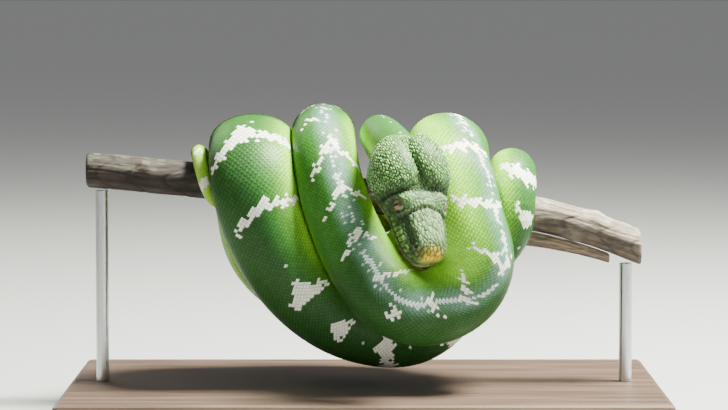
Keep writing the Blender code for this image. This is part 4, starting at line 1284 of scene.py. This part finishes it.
def buildEye(name, sign, node):
    # a ball whose pole looks sideways out of the head, with a bulge of a bell curve round the
    # pole: a tall slit in a ringed iris
    centres, ways, ups, sides = (v[0] for v in headFrame(np.array([headShape["eyeAt"]])))
    middle = (centres + ups * (headShape["eyeHigh"] - eye["lower"])
              + sides * sign * (headShape["eyeOut"] - eye["deeper"]))
    leanUp, leanOn = eye["lean"]
    outward = unit(sides * sign + leanUp * ups + leanOn * ways)
    upward = unit(ups - outward * (ups @ outward))
    across = np.cross(outward, upward)
    fall = np.linspace(0, math.pi, eye["rows"])
    turn = np.linspace(0, 2 * math.pi, eye["sides"], endpoint=False)
    a, b = np.meshgrid(fall[1:-1], turn, indexing="ij")
    flat = np.stack([np.sin(a) * np.cos(b), np.sin(a) * np.sin(b), np.cos(a)], -1).reshape(-1, 3)
    flat = np.vstack([flat, [0, 0, 1], [0, 0, -1]])
    reach = np.hypot(flat[:, 0], flat[:, 1])
    front = flat[:, 2] > 0
    bulge = 1 + eye["bulge"] * hill(reach, 0, 0.5) * front
    points = middle + eye["radius"] * bulge[:, None] * (
        flat[:, :1] * across + flat[:, 1:2] * upward + flat[:, 2:] * outward)
    points[:, 2] += perchHeight
    count = (eye["rows"] - 2) * eye["sides"]
    k = np.arange(eye["sides"])
    nextK, last = (k + 1) % eye["sides"], count - eye["sides"]
    faces = np.vstack([asTriangles(gridFaces(eye["rows"] - 2, eye["sides"])),
                       np.stack([np.full(len(k), count), k, nextK], -1),
                       np.stack([np.full(len(k), count + 1), last + nextK, last + k], -1)])
    # front: rays in the iris, darker towards its edge, and the slit pupil
    shade = {part: np.array(eye[part]) for part in ("iris", "irisEdge", "pupil", "rim")}
    ray = 0.5 + 0.5 * np.sin(eye["rays"] * np.arctan2(flat[:, 1], flat[:, 0]) + 5 * reach)
    tint = mixed(shade["iris"], shade["irisEdge"],
                 np.clip(0.75 * smooth(0.30, 0.85, reach) + 0.25 * ray, 0, 1))
    slitWide, slitHigh = eye["slit"]
    slit = 1 - smooth(0.8, 1.1, np.hypot(flat[:, 0] / slitWide, flat[:, 1] / slitHigh))
    tint = mixed(tint, shade["pupil"], slit)
    outer = smooth(eye["irisShare"], eye["irisShare"] + 0.06, reach)
    tint = mixed(tint, shade["rim"], np.where(front, outer, 1))
    piece = meshObject(name, points, faces, eyeGlass)
    paintPoints(piece, tint)
    addBakeMap(piece, 0.5 + 0.24 * flat[:, :2] * np.where(front, 1, 0.98)[:, None])
    return ridePiece(piece, "eye_glass", node)


eyeGlass = grainyFinish("eyeGlass", finishes["eyeGlass"])
buildEye("eyeRight", 1, "eye_right")
buildEye("eyeLeft", -1, "eye_left")
print("eyes")

# branch and twig
# the under colour is painted shade for a limb's underside, and each limb's top colour is its
# painted lit top
bark = {"under": (0.050, 0.040, 0.034), "left": (0.032, 0.025, 0.019),
        "moss": (0.090, 0.115, 0.060), "cutWood": (0.420, 0.310, 0.190),
        "cutRing": (0.240, 0.165, 0.095), "ringPace": 0.00085, "capRings": 14,
        "leftFade": (-0.09, 0.05)}
limbs = {
    # ends, radius, its shares at the start and lost on the way, how far it hangs below the
    # branch's line in radii, and knobs: place, direction round it, size across and height
    "branchBark": {
        "node": "perch", "slot": "branch_bark", "rows": 420, "sides": 120, "seed": 0.4,
        "ends": (-perch["halfLength"], perch["halfLength"]), "size": perch["radius"],
        "thin": (1, 0), "drop": 0, "top": (0.270, 0.225, 0.180),
        "knobs": [(0.126, -0.5, 0.0062, 0.0026), (0.142, 0.6, 0.0050, 0.0016),
                  (0.104, 1.2, 0.0048, 0.0011), (-0.118, -0.9, 0.0056, 0.0016),
                  (-0.136, 0.9, 0.0045, 0.0012), (0.112, -2.4, 0.0050, 0.0013),
                  (-0.104, 2.5, 0.0050, 0.0010)]},
    "twigBark": {
        "node": "perch_twig", "slot": "twig_bark", "rows": 160, "sides": 72, "seed": 2.1,
        "ends": (perch["twigStart"], perch["twigEnd"]), "size": perch["twigRadius"],
        "thin": (1.06, 0.42), "drop": 1, "top": (0.560, 0.420, 0.310), "knobs": []},
}


def barkHeight(x, turn, radius, seed):
    # long wandering furrows, cross cracks and a few growth rings raised round the branch
    wander = turn + 0.35 * np.sin(23 * x + seed) + 0.12 * np.sin(71 * x + 2 * turn)
    furrow = np.abs(np.sin(5.5 * wander + 0.8 * np.sin(57 * x + 3 * seed)))
    fine = np.abs(np.sin(13 * wander + 2.3 * np.sin(103 * x + seed) + 1.3))
    crack = hill(np.sin(310 * x + 1.7 * np.sin(3 * turn + seed) + 2 * np.sin(41 * x)), 1, 0.10)
    lump = np.sin(133 * x + 2 * turn) * np.sin(87 * x - 3 * turn + seed)
    return radius * (0.045 * furrow ** 0.6 + 0.020 * fine ** 0.7 - 0.028 * crack + 0.022 * lump)


def barkColour(limb, x, turn, raised):
    # painted light and shade: paler on top and darker below; also paler on ridges, darker in
    # furrows and to the left, with flecks of moss
    shade = np.clip(0.5 + 0.5 * np.cos(turn - 0.2) + 0 * x, 0, 1)
    leftward = smooth(*bark["leftFade"], x + 0 * turn)
    top = mixed(np.array(bark["left"]), np.array(limb["top"]), leftward)
    tint = mixed(np.array(bark["under"]) + 0 * top, top, 0.25 + 0.75 * shade)
    tint = tint * (0.45 + 0.62 * smooth(-0.02, 0.05, raised / limb["size"]))[..., None]
    mossy = jitter(np.floor(x * 260), np.floor(turn * 6)) > 0.86
    return mixed(tint, np.array(bark["moss"]), 0.45 * mossy * smooth(0.3, 0.8, shade))


def fixFacing(piece):
    # turns a closed mesh's faces outward, so that its signed volume is above 0
    work = bmesh.new()
    work.from_mesh(piece.data)
    bmesh.ops.recalc_face_normals(work, faces=work.faces)
    if work.calc_volume(signed=True) < 0:
        bmesh.ops.reverse_faces(work, faces=work.faces)
    loose = sum(not edge.is_manifold for edge in work.edges)
    print(piece.name, len(work.faces), "faces,", loose, "open edges")
    work.to_mesh(piece.data)
    work.free()


def buildLimb(name, limb, material):
    # rings along the branch's own line, raised by bark and by a bell curve at each knob; both
    # cut ends are rings that shrink to a middle point
    low, high = limb["ends"]
    size, sides = limb["size"], limb["sides"]
    x = np.linspace(low, high, limb["rows"])[:, None]
    turn = np.linspace(0, 2 * math.pi, sides, endpoint=False)[None]
    start, lost = limb["thin"]
    radius = size * (start - lost * (x - low) / (high - low))
    raised = barkHeight(x, turn, size, limb["seed"]) - 0.03 * size
    for at, way, across, tall in limb["knobs"]:
        bent = np.arctan2(np.sin(turn - way), np.cos(turn - way)) * size
        raised = raised + tall * np.exp(-((x - at) ** 2 + bent ** 2) / across ** 2 * 1.6)
    rounded = 1 - 0.10 * (1 - smooth(0, 0.0012, np.minimum(x - low, high - x)))
    reach = (radius + raised) * rounded
    middle = branchHeight(x) - limb["drop"] * (perch["radius"] + radius + 2 * perch["gap"])
    rings = np.stack([x + 0 * turn, reach * np.sin(turn), middle + reach * np.cos(turn)], -1)
    shrink = np.linspace(0.94, 0, bark["capRings"])[:, None, None]
    first, last = (row.mean(0) + (row - row.mean(0)) * shrink for row in (rings[0], rings[-1]))
    yearRings = 0.5 + 0.5 * np.sin(shrink[..., 0] * size / bark["ringPace"] * 2 * math.pi)
    wood = mixed(np.array(bark["cutWood"]), np.array(bark["cutRing"]),
                 yearRings * (0.8 + 0 * turn))
    points = np.concatenate([first[::-1], rings, last])
    tints = np.concatenate([wood[::-1], barkColour(limb, x, turn, raised), wood])
    # the innermost ring of each end closes on one point
    grid = asTriangles(gridFaces(len(points) - 2, sides))
    flat, tints = points[1:-1].reshape(-1, 3), tints[1:-1].reshape(-1, 3)
    number, k = len(flat), np.arange(sides)
    final, after = number - sides, (k + 1) % sides
    faces = np.vstack([grid[:, ::-1],
                       np.stack([np.full(sides, number), after, k][::-1], -1),
                       np.stack([np.full(sides, number + 1), final + k, final + after][::-1], -1)])
    flat = np.vstack([flat, points[0, :1], points[-1, :1]])
    tints = np.vstack([tints, tints[:1], tints[-1:]])
    flat[:, 2] += perchHeight
    piece = meshObject(name, flat, faces, material)
    paintPoints(piece, tints)
    fixFacing(piece)
    return ridePiece(piece, limb["slot"], limb["node"])


barkFinish = grainyFinish("barkBrown", finishes["bark"])
for name, limb in limbs.items():
    buildLimb(name, limb, barkFinish)

# the stand keeps its own shapes and takes new finishes
stand = {"wood": (0.075, 0.048, 0.032), "steel": (0.56, 0.57, 0.58)}
woodFinish = grainyFinish("standWood", finishes["standWood"], stand["wood"])
steelFinish = grainyFinish("standSteel", finishes["standSteel"], stand["steel"])
for node, finish in (("stand_base", woodFinish), ("stand_rod_left", steelFinish),
                     ("stand_rod_right", steelFinish)):
    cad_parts[node].data.materials.clear()
    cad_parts[node].data.materials.append(finish)
print("branch and stand")

# a plain pale floor that reaches past the horizon
studio = {"reach": 400.0, "paper": (0.29, 0.295, 0.29), "rough": 0.75}
reach = studio["reach"]
floor = bpy.data.meshes.new("studioFloor")
floor.from_pydata([(-reach, -reach, 0), (reach, -reach, 0), (reach, reach, 0), (-reach, reach, 0)],
                  [], [(0, 1, 2, 3)])
paper = bpy.data.materials.new("studioPaper")
paper.use_nodes = True
paperShader = paper.node_tree.nodes["Principled BSDF"]
paperShader.inputs["Base Color"].default_value = (*studio["paper"], 1)
paperShader.inputs["Roughness"].default_value = studio["rough"]
floor.materials.append(paper)
floorObject = bpy.data.objects.new("studioFloor", floor)
bpy.context.scene.collection.objects.link(floorObject)
floorObject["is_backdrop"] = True
print("floor")

low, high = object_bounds()
